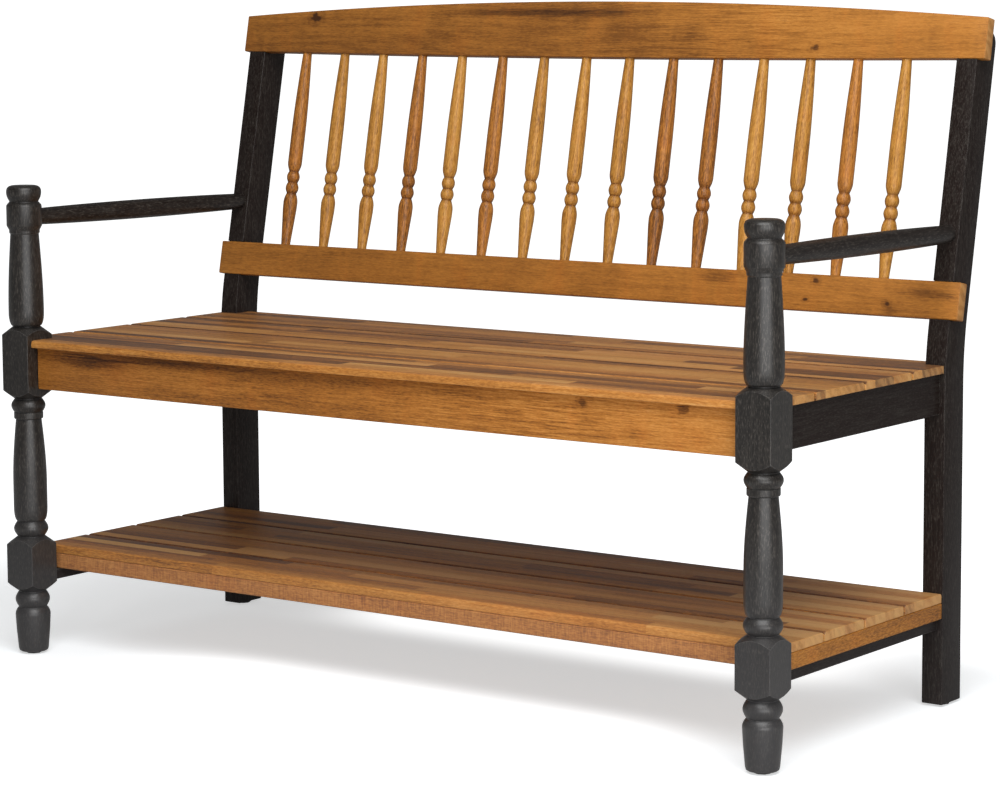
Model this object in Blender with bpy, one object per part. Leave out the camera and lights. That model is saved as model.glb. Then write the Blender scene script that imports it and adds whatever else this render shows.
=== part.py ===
"""Two-seat outdoor bench: turned front legs, raked spindle back, slatted seat and slatted low shelf.

Metres, +Z up. +X runs along the bench, +Y runs to the back, the floor is at Z = 0.
"""
import math

import bmesh
import bpy
from mathutils import Matrix, Vector

# Overall sizes that drive the rest
WIDTH = 1.220
SEAT_HEIGHT = 0.434
SHELF_HEIGHT = 0.146
ARM_HEIGHT = 0.599
SIDE_OPENING = 0.387
RAKE = math.radians(11.4)

# Fits
FIT = 0.0003
EASE = 0.0012
GAP = 0.003

# Front legs
LEG = 0.048
LEG_BLOCK_RISE = 0.0075
LEG_UPPER_BLOCK = 0.0825
LEG_LOWER_BLOCK = 0.056
LEG_SHOULDER = 0.009
LEG_BELLY = 0.0239
LEG_NECK = 0.0186
LEG_CAP = 0.0215
LEG_DRUM = 0.044
LEG_RING = 0.021
LEG_STEP = 0.009

# Back posts
POST_WIDTH = 0.029
POST_DEPTH = 0.049
POST_UPPER_DEPTH = 0.046
POST_INSET = 0.0125
POST_OVER_CREST = 0.040
POST_TOP_ROUND = 0.016
BEND_RISE = 0.007
BEND_REACH = 0.045

# Back rails and spindles, measured along the rake from the bend
LOWER_RAIL_LIFT = 0.0505
LOWER_RAIL_HEIGHT = 0.0475
SPINDLE_LENGTH = 0.2815
CREST_END_HEIGHT = 0.0525
CREST_RISE = 0.021
CREST_SAG = 0.0035
RAIL_THICK = 0.018
RAIL_PROUD = 0.0008
RAIL_OVERHANG = 0.0105
SPINDLE_COUNT = 15
SPINDLE_END_GAP = 0.0745
SPINDLE_END = 0.0065
SPINDLE_BELLY = 0.0102
SPINDLE_NECK = 0.0069
SPINDLE_TENON = 0.013

# Arms
ARM_END = 0.0110
ARM_BELLY = 0.0134
ARM_FALL = 0.0035
ARM_TENON = 0.016

# Seat frame and slats
SEAT_SLAT = 0.010
SEAT_SLAT_COUNT = 4
SEAT_NOSE_BACK = 0.007
SEAT_PAST_POST = 0.035
SLAT_END_BACK = 0.0015
SLAT_ROUND = 0.0025
NOSE_ROUND = 0.004
APRON = 0.020
FRONT_APRON_BACK = 0.0185
FRONT_APRON_HEIGHT = 0.057
SIDE_APRON_HEIGHT = 0.0525
SIDE_APRON_BACK = 0.0075
BACK_APRON_BACK = 0.004
BEARER = 0.030
BEARER_COUNT = 3
BRACE_REACH = 0.075
BRACE_THICK = 0.022
BRACE_HEIGHT = 0.032

# Joinery
TENON = 0.010
TENON_LONG = 0.020
TENON_SHORT = 0.010
TENON_SET_IN = 0.006

# Shelf
SHELF_SLAT = 0.012
SHELF_SLAT_WIDTH = 0.094
SHELF_SLAT_COUNT = 4
SHELF_BACK_FROM_LEG = 0.012
BATTEN = 0.022
BATTEN_HEIGHT = 0.0205
SHELF_RAIL_HEIGHT = 0.0145
CROSS_BATTEN_COUNT = 2

# Small fittings
GLIDE = 0.003
GLIDE_RADIUS = 0.012
GLIDE_STEM = 0.003
GLIDE_STEM_LENGTH = 0.012
SCREW_SHANK = 0.0022
SCREW_HEAD = 0.0048
SCREW_HEAD_HEIGHT = 0.003
SCREW_BITE = 0.010

# Facets round a turned piece
LEG_FACETS = 16
SPINDLE_FACETS = 9
ARM_FACETS = 12
FITTING_FACETS = 8

# Positions worked out from the sizes above
LEG_X = WIDTH / 2 - LEG / 2
POST_X = WIDTH / 2 - POST_INSET - POST_WIDTH / 2
POST_OUTER = POST_X + POST_WIDTH / 2
POST_INNER = POST_X - POST_WIDTH / 2
BEND_Z = SEAT_HEIGHT + BEND_RISE
SEAT_UNDER = SEAT_HEIGHT - SEAT_SLAT
SHELF_UNDER = SHELF_HEIGHT - SHELF_SLAT
BATTEN_UNDER = SHELF_UNDER - FIT - BATTEN_HEIGHT
RAIL_TOP = BATTEN_UNDER - FIT
RAIL_UNDER = RAIL_TOP - SHELF_RAIL_HEIGHT
LOWER_RAIL_TOP = LOWER_RAIL_LIFT + LOWER_RAIL_HEIGHT
CREST_UNDER = LOWER_RAIL_TOP + SPINDLE_LENGTH
POST_TOP = CREST_UNDER + POST_OVER_CREST
UPPER_BLOCK_TOP = SEAT_HEIGHT + LEG_BLOCK_RISE
UPPER_BLOCK_UNDER = UPPER_BLOCK_TOP - LEG_UPPER_BLOCK
LOWER_BLOCK_UNDER = RAIL_UNDER - TENON_SET_IN / 2
LOWER_BLOCK_TOP = LOWER_BLOCK_UNDER + LEG_LOWER_BLOCK
LEG_TOP = ARM_HEIGHT + LEG_DRUM / 2 + LEG_CAP
SLAT_HALF = POST_OUTER - SLAT_END_BACK
APRON_OUTER = POST_OUTER - SIDE_APRON_BACK
SPINDLE_SPAN = 2 * (POST_INNER - SPINDLE_END_GAP)


def rake_point(through, along):
    """Point of the back, as (y from the posts' front face, z): through the thickness, along the rake."""
    y = along * math.sin(RAKE) + through * math.cos(RAKE)
    z = BEND_Z + along * math.cos(RAKE) - through * math.sin(RAKE)
    return y, z


def bend_arc(y, vertex_z, steps):
    """Curve that eases an upright edge into the rake, lowest point first."""
    radius = BEND_REACH / math.tan(RAKE / 2)
    start = vertex_z - BEND_REACH
    arc = []
    for i in range(steps + 1):
        angle = RAKE * i / steps
        arc.append((y + radius * (1 - math.cos(angle)), start + radius * math.sin(angle)))
    return arc


def post_outline():
    """Side view of a back post as sawn from the plank, (y, z), counter-clockwise seen from +X."""
    front = [(0.0, GLIDE)] + bend_arc(0.0, BEND_Z, 6) + [rake_point(0.0, POST_TOP)]
    back_vertex = BEND_Z + (POST_DEPTH - POST_UPPER_DEPTH / math.cos(RAKE)) / math.tan(RAKE)
    back = [(POST_DEPTH, GLIDE)] + bend_arc(POST_DEPTH, back_vertex, 6)
    steps = 5
    for i in range(steps + 1):
        angle = math.radians(90) * i / steps
        through = POST_UPPER_DEPTH - POST_TOP_ROUND * (1 - math.cos(angle))
        along = POST_TOP - POST_TOP_ROUND * (1 - math.sin(angle))
        back.append(rake_point(through, along))
    return back + front[::-1]


DEPTH = LEG + SIDE_OPENING + max(y for y, _ in post_outline())
LEG_Y = LEG / 2 - DEPTH / 2
POST_Y = LEG_Y + LEG / 2 + SIDE_OPENING
FRONT_FACE = LEG_Y - LEG / 2
LEG_BACK = LEG_Y + LEG / 2
SLATS_BACK = POST_Y - FIT
SEAT_FRONT = FRONT_FACE + SEAT_NOSE_BACK
SEAT_SLAT_WIDTH = (POST_Y + SEAT_PAST_POST - SEAT_FRONT + GAP) / SEAT_SLAT_COUNT - GAP
SHELF_FRONT = LEG_BACK + SHELF_BACK_FROM_LEG
FRONT_APRON_Y = FRONT_FACE + FRONT_APRON_BACK + APRON / 2
BACK_APRON_Y = POST_Y + BACK_APRON_BACK + APRON / 2
SIDES = (("left", -1), ("right", 1))


def clear_scene():
    for obj in list(bpy.data.objects):
        bpy.data.objects.remove(obj, do_unlink=True)


def make_material(name, colour, roughness, metallic=0.0):
    mat = bpy.data.materials.new(name)
    mat.use_nodes = True
    shader = mat.node_tree.nodes["Principled BSDF"]
    shader.inputs["Base Color"].default_value = (*colour, 1.0)
    shader.inputs["Roughness"].default_value = roughness
    shader.inputs["Metallic"].default_value = metallic
    return mat


def seat_wood(name):
    return make_material(name, (0.42, 0.20, 0.07), 0.42)


def shelf_wood(name):
    return make_material(name, (0.33, 0.15, 0.06), 0.45)


def back_wood(name):
    return make_material(name, (0.47, 0.23, 0.08), 0.40)


def black_paint(name):
    return make_material(name, (0.020, 0.019, 0.019), 0.48)


def hidden_wood(name):
    return make_material(name, (0.36, 0.19, 0.09), 0.60)


def glide_plastic(name):
    return make_material(name, (0.05, 0.05, 0.05), 0.55)


def screw_steel(name):
    return make_material(name, (0.55, 0.55, 0.56), 0.35, 1.0)


def place(name, bm, finish, location=(0, 0, 0), tilt=0.0, smooth=False):
    """Makes the finished object of one sub-part from its mesh, in its own material."""
    bmesh.ops.recalc_face_normals(bm, faces=bm.faces)
    mesh = bpy.data.meshes.new(name)
    bm.to_mesh(mesh)
    bm.free()
    mesh.materials.append(finish("mat_" + name))
    if smooth:
        mesh.shade_smooth()
        mesh.set_sharp_from_angle(angle=math.radians(35))
    obj = bpy.data.objects.new(name, mesh)
    obj.location = location
    obj.rotation_euler = (tilt, 0, 0)
    bpy.context.collection.objects.link(obj)
    return obj


def loft(rings):
    """Closed mesh through rings of points, capped at both ends."""
    bm = bmesh.new()
    rows = [[bm.verts.new(point) for point in ring] for ring in rings]
    count = len(rows[0])
    for low, high in zip(rows, rows[1:]):
        for i in range(count):
            j = (i + 1) % count
            bm.faces.new((low[i], low[j], high[j], high[i]))
    bm.faces.new(rows[0][::-1])
    bm.faces.new(rows[-1])
    return bm


def circle(radius, facets):
    return [(radius * math.cos(2 * math.pi * i / facets), radius * math.sin(2 * math.pi * i / facets))
            for i in range(facets)]


def turn(profile, facets, matrix=Matrix.Identity(4)):
    """Turned solid about Z from (radius, z) pairs, moved by a matrix."""
    rings = [[matrix @ Vector((x, y, z)) for x, y in circle(radius, facets)] for radius, z in profile]
    return loft(rings)


def eased_rect(width, height, ease):
    """Rectangle about its middle with its corners cut off."""
    w, h = width / 2, height / 2
    return [(-w + ease, -h), (w - ease, -h), (w, -h + ease), (w, h - ease),
            (w - ease, h), (-w + ease, h), (-w, h - ease), (-w, -h + ease)]


def along_x(x, ring, y=0.0, z=0.0):
    return [(x, y + a, z + b) for a, b in ring]


def along_y(y, ring, x=0.0, z=0.0):
    return [(x + a, y, z + b) for a, b in ring]


def block(low, high):
    """Plain box between two corners."""
    ring = [(low[0], low[1]), (high[0], low[1]), (high[0], high[1]), (low[0], high[1])]
    return loft([[(x, y, z) for x, y in ring] for z in (low[2], high[2])])


def prism(outline, low, high, axes):
    """Outline pushed from low to high; axes turns (a, b, depth) into a point."""
    return loft([[axes(a, b, depth) for a, b in outline] for depth in (low, high)])


def ease_edges(bm, width, pick):
    bmesh.ops.recalc_face_normals(bm, faces=bm.faces)
    bm.normal_update()
    edges = [edge for edge in bm.edges if pick(edge)]
    bmesh.ops.bevel(bm, geom=edges, offset=width, segments=1, affect="EDGES", clamp_overlap=True)
    return bm


def merge(pieces):
    """Several bodies in one mesh, for cutting in one go. They may overlap."""
    bm = bmesh.new()
    for piece in pieces:
        mesh = bpy.data.meshes.new("piece")
        piece.to_mesh(mesh)
        piece.free()
        bm.from_mesh(mesh)
        bpy.data.meshes.remove(mesh)
    return bm


def shape(bm, tool, operation="DIFFERENCE"):
    """Result of an exact Boolean of one mesh with another, both freed."""
    objects = []
    for name, source in (("work", bm), ("tool", tool)):
        bmesh.ops.recalc_face_normals(source, faces=source.faces)
        mesh = bpy.data.meshes.new(name)
        source.to_mesh(mesh)
        source.free()
        obj = bpy.data.objects.new(name, mesh)
        bpy.context.collection.objects.link(obj)
        objects.append(obj)
    work, cutter = objects
    cutter.hide_render = True
    cutter.display_type = "WIRE"
    carve = work.modifiers.new("carve", "BOOLEAN")
    carve.object = cutter
    carve.operation = operation
    carve.solver = "EXACT"
    carve.use_self = True
    bpy.context.view_layer.update()
    result = bmesh.new()
    result.from_object(work, bpy.context.evaluated_depsgraph_get())
    for obj in objects:
        mesh = obj.data
        bpy.data.objects.remove(obj, do_unlink=True)
        bpy.data.meshes.remove(mesh)
    bmesh.ops.remove_doubles(result, verts=result.verts, dist=1e-6)
    bmesh.ops.dissolve_degenerate(result, edges=result.edges, dist=1e-6)
    return result


# Turned profiles, each a list of (radius, z) from the top down

def swell(top, height, neck, belly, foot, at, steps):
    """Curve that grows from neck to belly at a fraction of the height, then rounds in to the foot."""
    points = []
    for i in range(steps + 1):
        t = i / steps
        if t <= at:
            radius = neck + (belly - neck) * math.sin(math.pi / 2 * t / at)
        else:
            radius = foot + (belly - foot) * math.cos(math.pi / 2 * (t - at) / (1 - at))
        points.append((radius, top - height * t))
    return points


def vase(top, height, neck, belly, foot, full, hold):
    """Curve that swells from neck to belly, keeps that width for a stretch, then rounds in to the foot."""
    points = []
    steps = 5
    for i in range(steps + 1):
        t = i / steps
        points.append((neck + (belly - neck) * math.sin(math.pi / 2 * t), top - height * full * t))
    steps = 3
    for i in range(steps + 1):
        t = i / steps
        points.append((foot + (belly - foot) * math.sqrt(1 - t * t), top - height * (hold + (1 - hold) * t)))
    return points


def drum(top, height, neck, belly):
    """Barrel with a rounded upper edge and a chamfer down to a small ring."""
    grow = belly - neck
    return [(neck, top), (neck + grow * 0.7, top - height * 0.09), (belly, top - height * 0.2),
            (belly, top - height * 0.74), (neck + grow * 0.4, top - height * 0.88),
            (neck + grow * 0.3, top - height)]


def square_block(top, under):
    """Stretch where the square stays: shoulders run out past the corners, to be cut by the blank."""
    past_corner = LEG * 0.75
    reach = (past_corner - LEG_NECK) / (LEG / math.sqrt(2) - LEG_NECK)
    return [(LEG_NECK, top + LEG_SHOULDER), (past_corner, top + LEG_SHOULDER * (1 - reach)),
            (past_corner, under - LEG_SHOULDER * (1 - reach)), (LEG_NECK, under - LEG_SHOULDER)]


def leg_profile():
    """Cap, arm drum and vase; upper block; ring, step, vase and ring; lower block; ring and foot."""
    cap = [(LEG_BELLY * 0.6, LEG_TOP), (LEG_BELLY * 0.84, LEG_TOP - LEG_CAP * 0.05)]
    cap += swell(LEG_TOP - LEG_CAP * 0.2, LEG_CAP * 0.8, LEG_BELLY * 0.94, LEG_BELLY * 0.99, LEG_NECK, 0.25, 4)
    drum_top = LEG_TOP - LEG_CAP
    arm_drum = drum(drum_top - FIT, LEG_DRUM, LEG_NECK, LEG_BELLY)
    vase_top = drum_top - LEG_DRUM - 2 * FIT
    upper_foot = UPPER_BLOCK_TOP + LEG_SHOULDER
    upper_vase = vase(vase_top, vase_top - upper_foot - FIT, LEG_NECK, LEG_BELLY, LEG_NECK, 0.84, 0.86)
    upper_block = square_block(UPPER_BLOCK_TOP, UPPER_BLOCK_UNDER)
    ring_top = UPPER_BLOCK_UNDER - LEG_SHOULDER - FIT
    ring = swell(ring_top, LEG_RING, LEG_NECK, LEG_BELLY * 0.96, LEG_NECK + EASE, 0.5, 4)
    step_under = ring_top - LEG_RING - LEG_STEP
    step = [(LEG_NECK + EASE / 2, step_under + EASE)]
    lower_foot = LOWER_BLOCK_TOP + LEG_SHOULDER + LEG_RING
    lower_height = step_under - lower_foot
    lower_vase = vase(step_under, lower_height, LEG_NECK - EASE, LEG_BELLY * 0.96, LEG_NECK, 0.62, 0.87)
    low_ring = swell(lower_foot - FIT, LEG_RING - 2 * FIT, LEG_NECK, LEG_BELLY, LEG_NECK, 0.5, 4)
    lower_block = square_block(LOWER_BLOCK_TOP, LOWER_BLOCK_UNDER)
    foot_ring_top = LOWER_BLOCK_UNDER - LEG_SHOULDER - FIT
    foot_ring = swell(foot_ring_top, LEG_RING, LEG_NECK, LEG_BELLY, LEG_NECK + EASE / 2, 0.5, 4)
    foot_top = foot_ring_top - LEG_RING - FIT
    foot_length = foot_top - GLIDE
    foot = [(LEG_NECK + EASE / 2, foot_top), (LEG_BELLY * 0.97, foot_top - foot_length * 0.1),
            (LEG_BELLY, foot_top - foot_length * 0.17), (LEG_BELLY * 0.95, foot_top - foot_length * 0.5),
            (LEG_BELLY * 0.83, foot_top - foot_length * 0.93), (LEG_BELLY * 0.72, GLIDE)]
    return (cap + arm_drum + upper_vase + upper_block + ring + step + lower_vase
            + low_ring + lower_block + foot_ring + foot)


def spindle_profile():
    """Long swelling shaft, two beads and a short vase, with a round end in each rail."""
    length = SPINDLE_LENGTH
    shaft = length * 0.57
    shoulder = length * 0.05
    bead = length * 0.0565
    grow = SPINDLE_BELLY - SPINDLE_END
    beads_top = shaft + shoulder
    vase_top = beads_top + 2 * bead
    foot = length - vase_top
    points = [(SPINDLE_END, SPINDLE_TENON), (SPINDLE_END, -CREST_SAG)]
    points += [(SPINDLE_END + grow * 0.58, -shaft * 0.3), (SPINDLE_BELLY * 0.98, -shaft * 0.65)]
    points += [(SPINDLE_BELLY, -shaft)]
    points += [(SPINDLE_BELLY * 0.92, -shaft - shoulder * 0.6), (SPINDLE_NECK, -beads_top)]
    for top in (beads_top, beads_top + bead):
        points += swell(-top, bead, SPINDLE_NECK, SPINDLE_BELLY * 0.92, SPINDLE_NECK, 0.5, 4)[1:]
    points += [(SPINDLE_BELLY * 0.87, -vase_top - foot * 0.06), (SPINDLE_BELLY, -vase_top - foot * 0.18)]
    points += [(SPINDLE_END, -length), (SPINDLE_END, -length - SPINDLE_TENON)]
    return points


# Arms: the same line is used for the bar and for the holes it stands in

def arm_line(side):
    """Start in the leg drum, end in the post and the frame of the bar between them."""
    start = Vector((side * LEG_X, LEG_Y, ARM_HEIGHT))
    height = ARM_HEIGHT - ARM_FALL
    post_front = POST_Y + (height - BEND_Z) * math.tan(RAKE)
    end = Vector((side * POST_X, post_front, height))
    frame = (end - start).to_track_quat("Z", "Y").to_matrix().to_4x4()
    return start, end, frame


def arm_reach(side):
    """Distance along the arm from the leg's axis to its front end and to its back end."""
    start, end, _ = arm_line(side)
    return LEG_BELLY - ARM_TENON, (end - start).length + ARM_TENON


def arm_hole(side, origin):
    """Cutter for both arm holes, in the frame of a piece standing at the origin given."""
    start, _, frame = arm_line(side)
    first, last = arm_reach(side)
    matrix = Matrix.Translation(start - Vector(origin)) @ frame
    radius = ARM_END + FIT
    return turn([(radius, last + FIT), (radius, first - FIT)], ARM_FACETS, matrix)


def make_arm(name, side):
    start, end, frame = arm_line(side)
    first, last = arm_reach(side)
    shown = LEG_BELLY
    length = (end - start).length - shown
    profile = [(ARM_END, last)]
    steps = 6
    for i in range(steps + 1):
        t = 1 - i / steps
        profile.append((ARM_END + (ARM_BELLY - ARM_END) * math.sin(math.pi * t) ** 0.7, shown + length * t))
    # The bar keeps its end size a little way out of each hole
    profile.insert(1, (ARM_END, shown + length - EASE))
    profile[2] = (ARM_END, shown + length - 10 * EASE)
    profile[-1] = (ARM_END, shown + 10 * EASE)
    profile.append((ARM_END, first))
    return place(name, turn(profile, ARM_FACETS, frame), black_paint, start, smooth=True)


# Bars with tenons: the tenon is one section, the bar another, the step between them is the shoulder

def tenon_bar_x(half, width, height, tenon_length, tenon_height, tenon_drop):
    """Bar along X with a tenon at both ends, the tenon set down from the bar's middle."""
    bar = eased_rect(width, height, EASE)
    stub = eased_rect(TENON, tenon_height, EASE)
    stations = [(-half - tenon_length, stub, -tenon_drop), (-half, stub, -tenon_drop), (-half, bar, 0.0),
                (half, bar, 0.0), (half, stub, -tenon_drop), (half + tenon_length, stub, -tenon_drop)]
    return loft([along_x(x, ring, 0.0, z) for x, ring, z in stations])


def tenon_bar_y(front, back, width, height, lengths, tenon_height, tenon_rise):
    """Bar along Y with a tenon at both ends, the tenon set up from the bar's middle."""
    bar = eased_rect(width, height, EASE)
    stub = eased_rect(TENON, tenon_height, EASE)
    stations = [(front - lengths[0], stub, tenon_rise), (front, stub, tenon_rise), (front, bar, 0.0),
                (back, bar, 0.0), (back, stub, tenon_rise), (back + lengths[1], stub, tenon_rise)]
    return loft([along_y(y, ring, 0.0, z) for y, ring, z in stations])


def plain_bar_y(front, back, width, height):
    ring = eased_rect(width, height, EASE)
    return loft([along_y(front, ring), along_y(back, ring)])


def socket(low, high):
    """Mortise cutter: the tenon's box with the fit added all round."""
    return block([value - FIT for value in low], [value + FIT for value in high])


# Where the tenons of the seat frame and of the shelf rails sit
FRONT_TENON_HEIGHT = FRONT_APRON_HEIGHT - 2 * TENON_SET_IN
SIDE_TENON_HEIGHT = SIDE_APRON_HEIGHT / 2 - TENON_SET_IN
SIDE_TENON_RISE = SIDE_APRON_HEIGHT / 4
BACK_TENON_HEIGHT = FRONT_APRON_HEIGHT / 2 - TENON_SET_IN
BACK_TENON_DROP = FRONT_APRON_HEIGHT / 4
RAIL_TENON_HEIGHT = SHELF_RAIL_HEIGHT - TENON_SET_IN
FRONT_APRON_Z = SEAT_UNDER - FIT - FRONT_APRON_HEIGHT / 2
SIDE_APRON_Z = SEAT_UNDER - FIT - SIDE_APRON_HEIGHT / 2
RAIL_Z = RAIL_TOP - SHELF_RAIL_HEIGHT / 2
SIDE_BAR_X = APRON_OUTER - APRON / 2


def side_socket(x, y_from, y_to, z, height):
    """Mortise for a bar running along Y, open at whichever end lies outside the piece."""
    return socket((x - TENON / 2, y_from, z - height / 2), (x + TENON / 2, y_to, z + height / 2))


# Front legs

def make_leg(name, side):
    """Turned from a square blank: the blocks keep the blank's faces, the rest is turned away."""
    blank = block((-LEG / 2, -LEG / 2, 0), (LEG / 2, LEG / 2, LEG_TOP + LEG))
    ease_edges(blank, EASE, lambda edge: abs(edge.verts[0].co.z - edge.verts[1].co.z) > LEG)
    leg = shape(turn(leg_profile(), LEG_FACETS), blank, "INTERSECT")
    inner = -side * LEG / 2
    tip = inner + side * TENON_LONG
    front_y = FRONT_APRON_Y - LEG_Y
    bar_x = side * SIDE_BAR_X - side * LEG_X
    cutters = [
        socket((min(inner - side * LEG, tip), front_y - TENON / 2, FRONT_APRON_Z - FRONT_TENON_HEIGHT / 2),
               (max(inner - side * LEG, tip), front_y + TENON / 2, FRONT_APRON_Z + FRONT_TENON_HEIGHT / 2)),
        side_socket(bar_x, LEG / 2 - TENON_SHORT, LEG, SIDE_APRON_Z + SIDE_TENON_RISE, SIDE_TENON_HEIGHT),
        side_socket(bar_x, LEG / 2 - TENON_SHORT, LEG, RAIL_Z, RAIL_TENON_HEIGHT),
        arm_hole(side, (side * LEG_X, LEG_Y, 0)),
        glide_hole(),
    ]
    leg = shape(leg, merge(cutters))
    return place(name, leg, black_paint, (side * LEG_X, LEG_Y, 0), smooth=True)


# Foot glides: a plastic button on a pin under each foot

def glide_hole():
    radius = GLIDE_STEM + FIT
    return turn([(radius, GLIDE + GLIDE_STEM_LENGTH + FIT), (radius, -GLIDE)], FITTING_FACETS)


def make_glide(name, location):
    top = GLIDE - FIT
    profile = [(GLIDE_STEM, GLIDE + GLIDE_STEM_LENGTH), (GLIDE_STEM, top), (GLIDE_RADIUS, top),
               (GLIDE_RADIUS, GLIDE / 2), (GLIDE_RADIUS - GLIDE / 2, 0.0)]
    return place(name, turn(profile, FITTING_FACETS), glide_plastic, location, smooth=True)


# Back posts

def back_frame(x=0.0):
    """Frame of the raked back: x along the bench, y through the thickness, z up the rake."""
    return Matrix.Translation((x, 0, BEND_Z)) @ Matrix.Rotation(-RAKE, 4, "X")


def raked_box(low, high):
    """Cutter box in the raked frame, as seen from a post."""
    bm = block(low, high)
    bm.transform(back_frame())
    return bm


def screw_points():
    """Heights up the rake where a screw goes through a post into a rail."""
    return (("lower", LOWER_RAIL_LIFT + LOWER_RAIL_HEIGHT / 2), ("crest", CREST_UNDER + CREST_END_HEIGHT / 2))


def screw_line(along):
    """Frame of a screw in the raked back: its own Z runs backwards out of the post."""
    return back_frame() @ Matrix.Translation((0, 0, along)) @ Matrix.Rotation(math.radians(-90), 4, "X")


def make_post(name, side):
    """Sawn from one plank, housed for both rails, mortised for the arm, aprons and shelf rail."""
    outline = post_outline()
    half = POST_WIDTH / 2
    post = prism(outline, -half, half, lambda y, z, x: (x, y, z))
    ease_edges(post, EASE, lambda edge: edge.calc_face_angle() > math.radians(60))
    inner = -side * half
    tip = inner + side * TENON_LONG / 2
    bar_x = side * SIDE_BAR_X - side * POST_X
    back_y = BACK_APRON_Y - POST_Y
    back_z = FRONT_APRON_Z - BACK_TENON_DROP
    housing = RAIL_THICK - RAIL_PROUD + FIT
    cutters = [
        raked_box((-POST_WIDTH, -LEG, LOWER_RAIL_LIFT - FIT), (POST_WIDTH, housing, LOWER_RAIL_TOP + FIT)),
        raked_box((-POST_WIDTH, -LEG, CREST_UNDER - FIT), (POST_WIDTH, housing, POST_TOP + LEG)),
        socket((min(inner - side * half, tip), back_y - TENON / 2, back_z - BACK_TENON_HEIGHT / 2),
               (max(inner - side * half, tip), back_y + TENON / 2, back_z + BACK_TENON_HEIGHT / 2)),
        side_socket(bar_x, -LEG, TENON_LONG, SIDE_APRON_Z + SIDE_TENON_RISE, SIDE_TENON_HEIGHT),
        side_socket(bar_x, -LEG, TENON_LONG, RAIL_Z, RAIL_TENON_HEIGHT),
        arm_hole(side, (side * POST_X, POST_Y, 0)),
    ]
    glide = glide_hole()
    glide.transform(Matrix.Translation((0, POST_DEPTH / 2, 0)))
    cutters.append(glide)
    for _, along in screw_points():
        radius = SCREW_SHANK + FIT
        cutters.append(turn([(radius, POST_DEPTH * 2), (radius, housing / 2)], FITTING_FACETS, screw_line(along)))
    post = shape(post, merge(cutters))
    return place(name, post, black_paint, (side * POST_X, POST_Y, 0))


def make_screw(name, side, along):
    """Pan-head screw from the back of the post into the rail."""
    seat = POST_UPPER_DEPTH + FIT
    tip = RAIL_THICK - RAIL_PROUD - SCREW_BITE
    profile = [(SCREW_HEAD * 0.6, seat + SCREW_HEAD_HEIGHT), (SCREW_HEAD, seat + SCREW_HEAD_HEIGHT * 0.5),
               (SCREW_HEAD, seat), (SCREW_SHANK, seat), (SCREW_SHANK, tip + SCREW_SHANK), (SCREW_SHANK * 0.4, tip)]
    return place(name, turn(profile, FITTING_FACETS, screw_line(along)), screw_steel,
                 (side * POST_X, POST_Y, 0), smooth=True)


# Back rails and spindles, all built in the raked frame

def spindle_places():
    step = SPINDLE_SPAN / (SPINDLE_COUNT - 1)
    return [step * i - SPINDLE_SPAN / 2 for i in range(SPINDLE_COUNT)]


def rail_holes(mouth, depth_sign, screws_at):
    """Round holes for the spindle ends and for the two screws of one rail."""
    middle = RAIL_THICK / 2 - RAIL_PROUD
    radius = SPINDLE_END + FIT
    deep = mouth + depth_sign * (SPINDLE_TENON + FIT)
    outside = mouth - depth_sign * SPINDLE_TENON
    holes = []
    for x in spindle_places():
        frame = Matrix.Translation((x, middle, 0))
        holes.append(turn([(radius, max(deep, outside)), (radius, min(deep, outside))], SPINDLE_FACETS, frame))
    for _, side in SIDES:
        frame = Matrix.Translation((side * POST_X, 0, screws_at)) @ Matrix.Rotation(math.radians(-90), 4, "X")
        tip = RAIL_THICK - RAIL_PROUD - SCREW_BITE - FIT
        radius_screw = SCREW_SHANK + FIT
        holes.append(turn([(radius_screw, RAIL_THICK * 2), (radius_screw, tip)], FITTING_FACETS, frame))
    return merge(holes)


def make_rail(name, outline, mouth, depth_sign, screws_at):
    """Flat rail from its outline (x, height up the rake), edges eased, holes bored."""
    front = -RAIL_PROUD
    rail = prism(outline, front, RAIL_THICK + front, lambda x, along, through: (x, through, along))
    ease_edges(rail, EASE, lambda edge: abs(edge.verts[0].co.y - edge.verts[1].co.y) < EASE)
    rail = shape(rail, rail_holes(mouth, depth_sign, screws_at))
    return place(name, rail, back_wood, (0, POST_Y, BEND_Z), -RAKE)


def make_back_rails():
    half = POST_OUTER + RAIL_OVERHANG
    lower = [(-half, LOWER_RAIL_LIFT), (half, LOWER_RAIL_LIFT), (half, LOWER_RAIL_TOP), (-half, LOWER_RAIL_TOP)]
    make_rail("lower_back_rail", lower, LOWER_RAIL_TOP, -1, screw_points()[0][1])
    crest = [(-half, CREST_UNDER)]
    steps = 12
    for i in range(steps + 1):
        x = POST_INNER * (2 * i / steps - 1)
        crest.append((x, CREST_UNDER - CREST_SAG * (1 - (x / POST_INNER) ** 2)))
    crest.append((half, CREST_UNDER))
    steps = 24
    for i in range(steps + 1):
        x = half - 2 * half * i / steps
        crest.append((x, CREST_UNDER + CREST_END_HEIGHT + CREST_RISE * (1 - (x / half) ** 2)))
    make_rail("crest_rail", crest, CREST_UNDER, 1, screw_points()[1][1])


def make_spindles():
    middle = RAIL_THICK / 2 - RAIL_PROUD
    frame = Matrix.Translation((0, POST_Y, 0)) @ back_frame()
    for i, x in enumerate(spindle_places()):
        top = frame @ Vector((x, middle, CREST_UNDER))
        place(f"spindle_{i + 1:02d}", turn(spindle_profile(), SPINDLE_FACETS), back_wood, top, -RAKE, smooth=True)


# Seat frame

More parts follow.
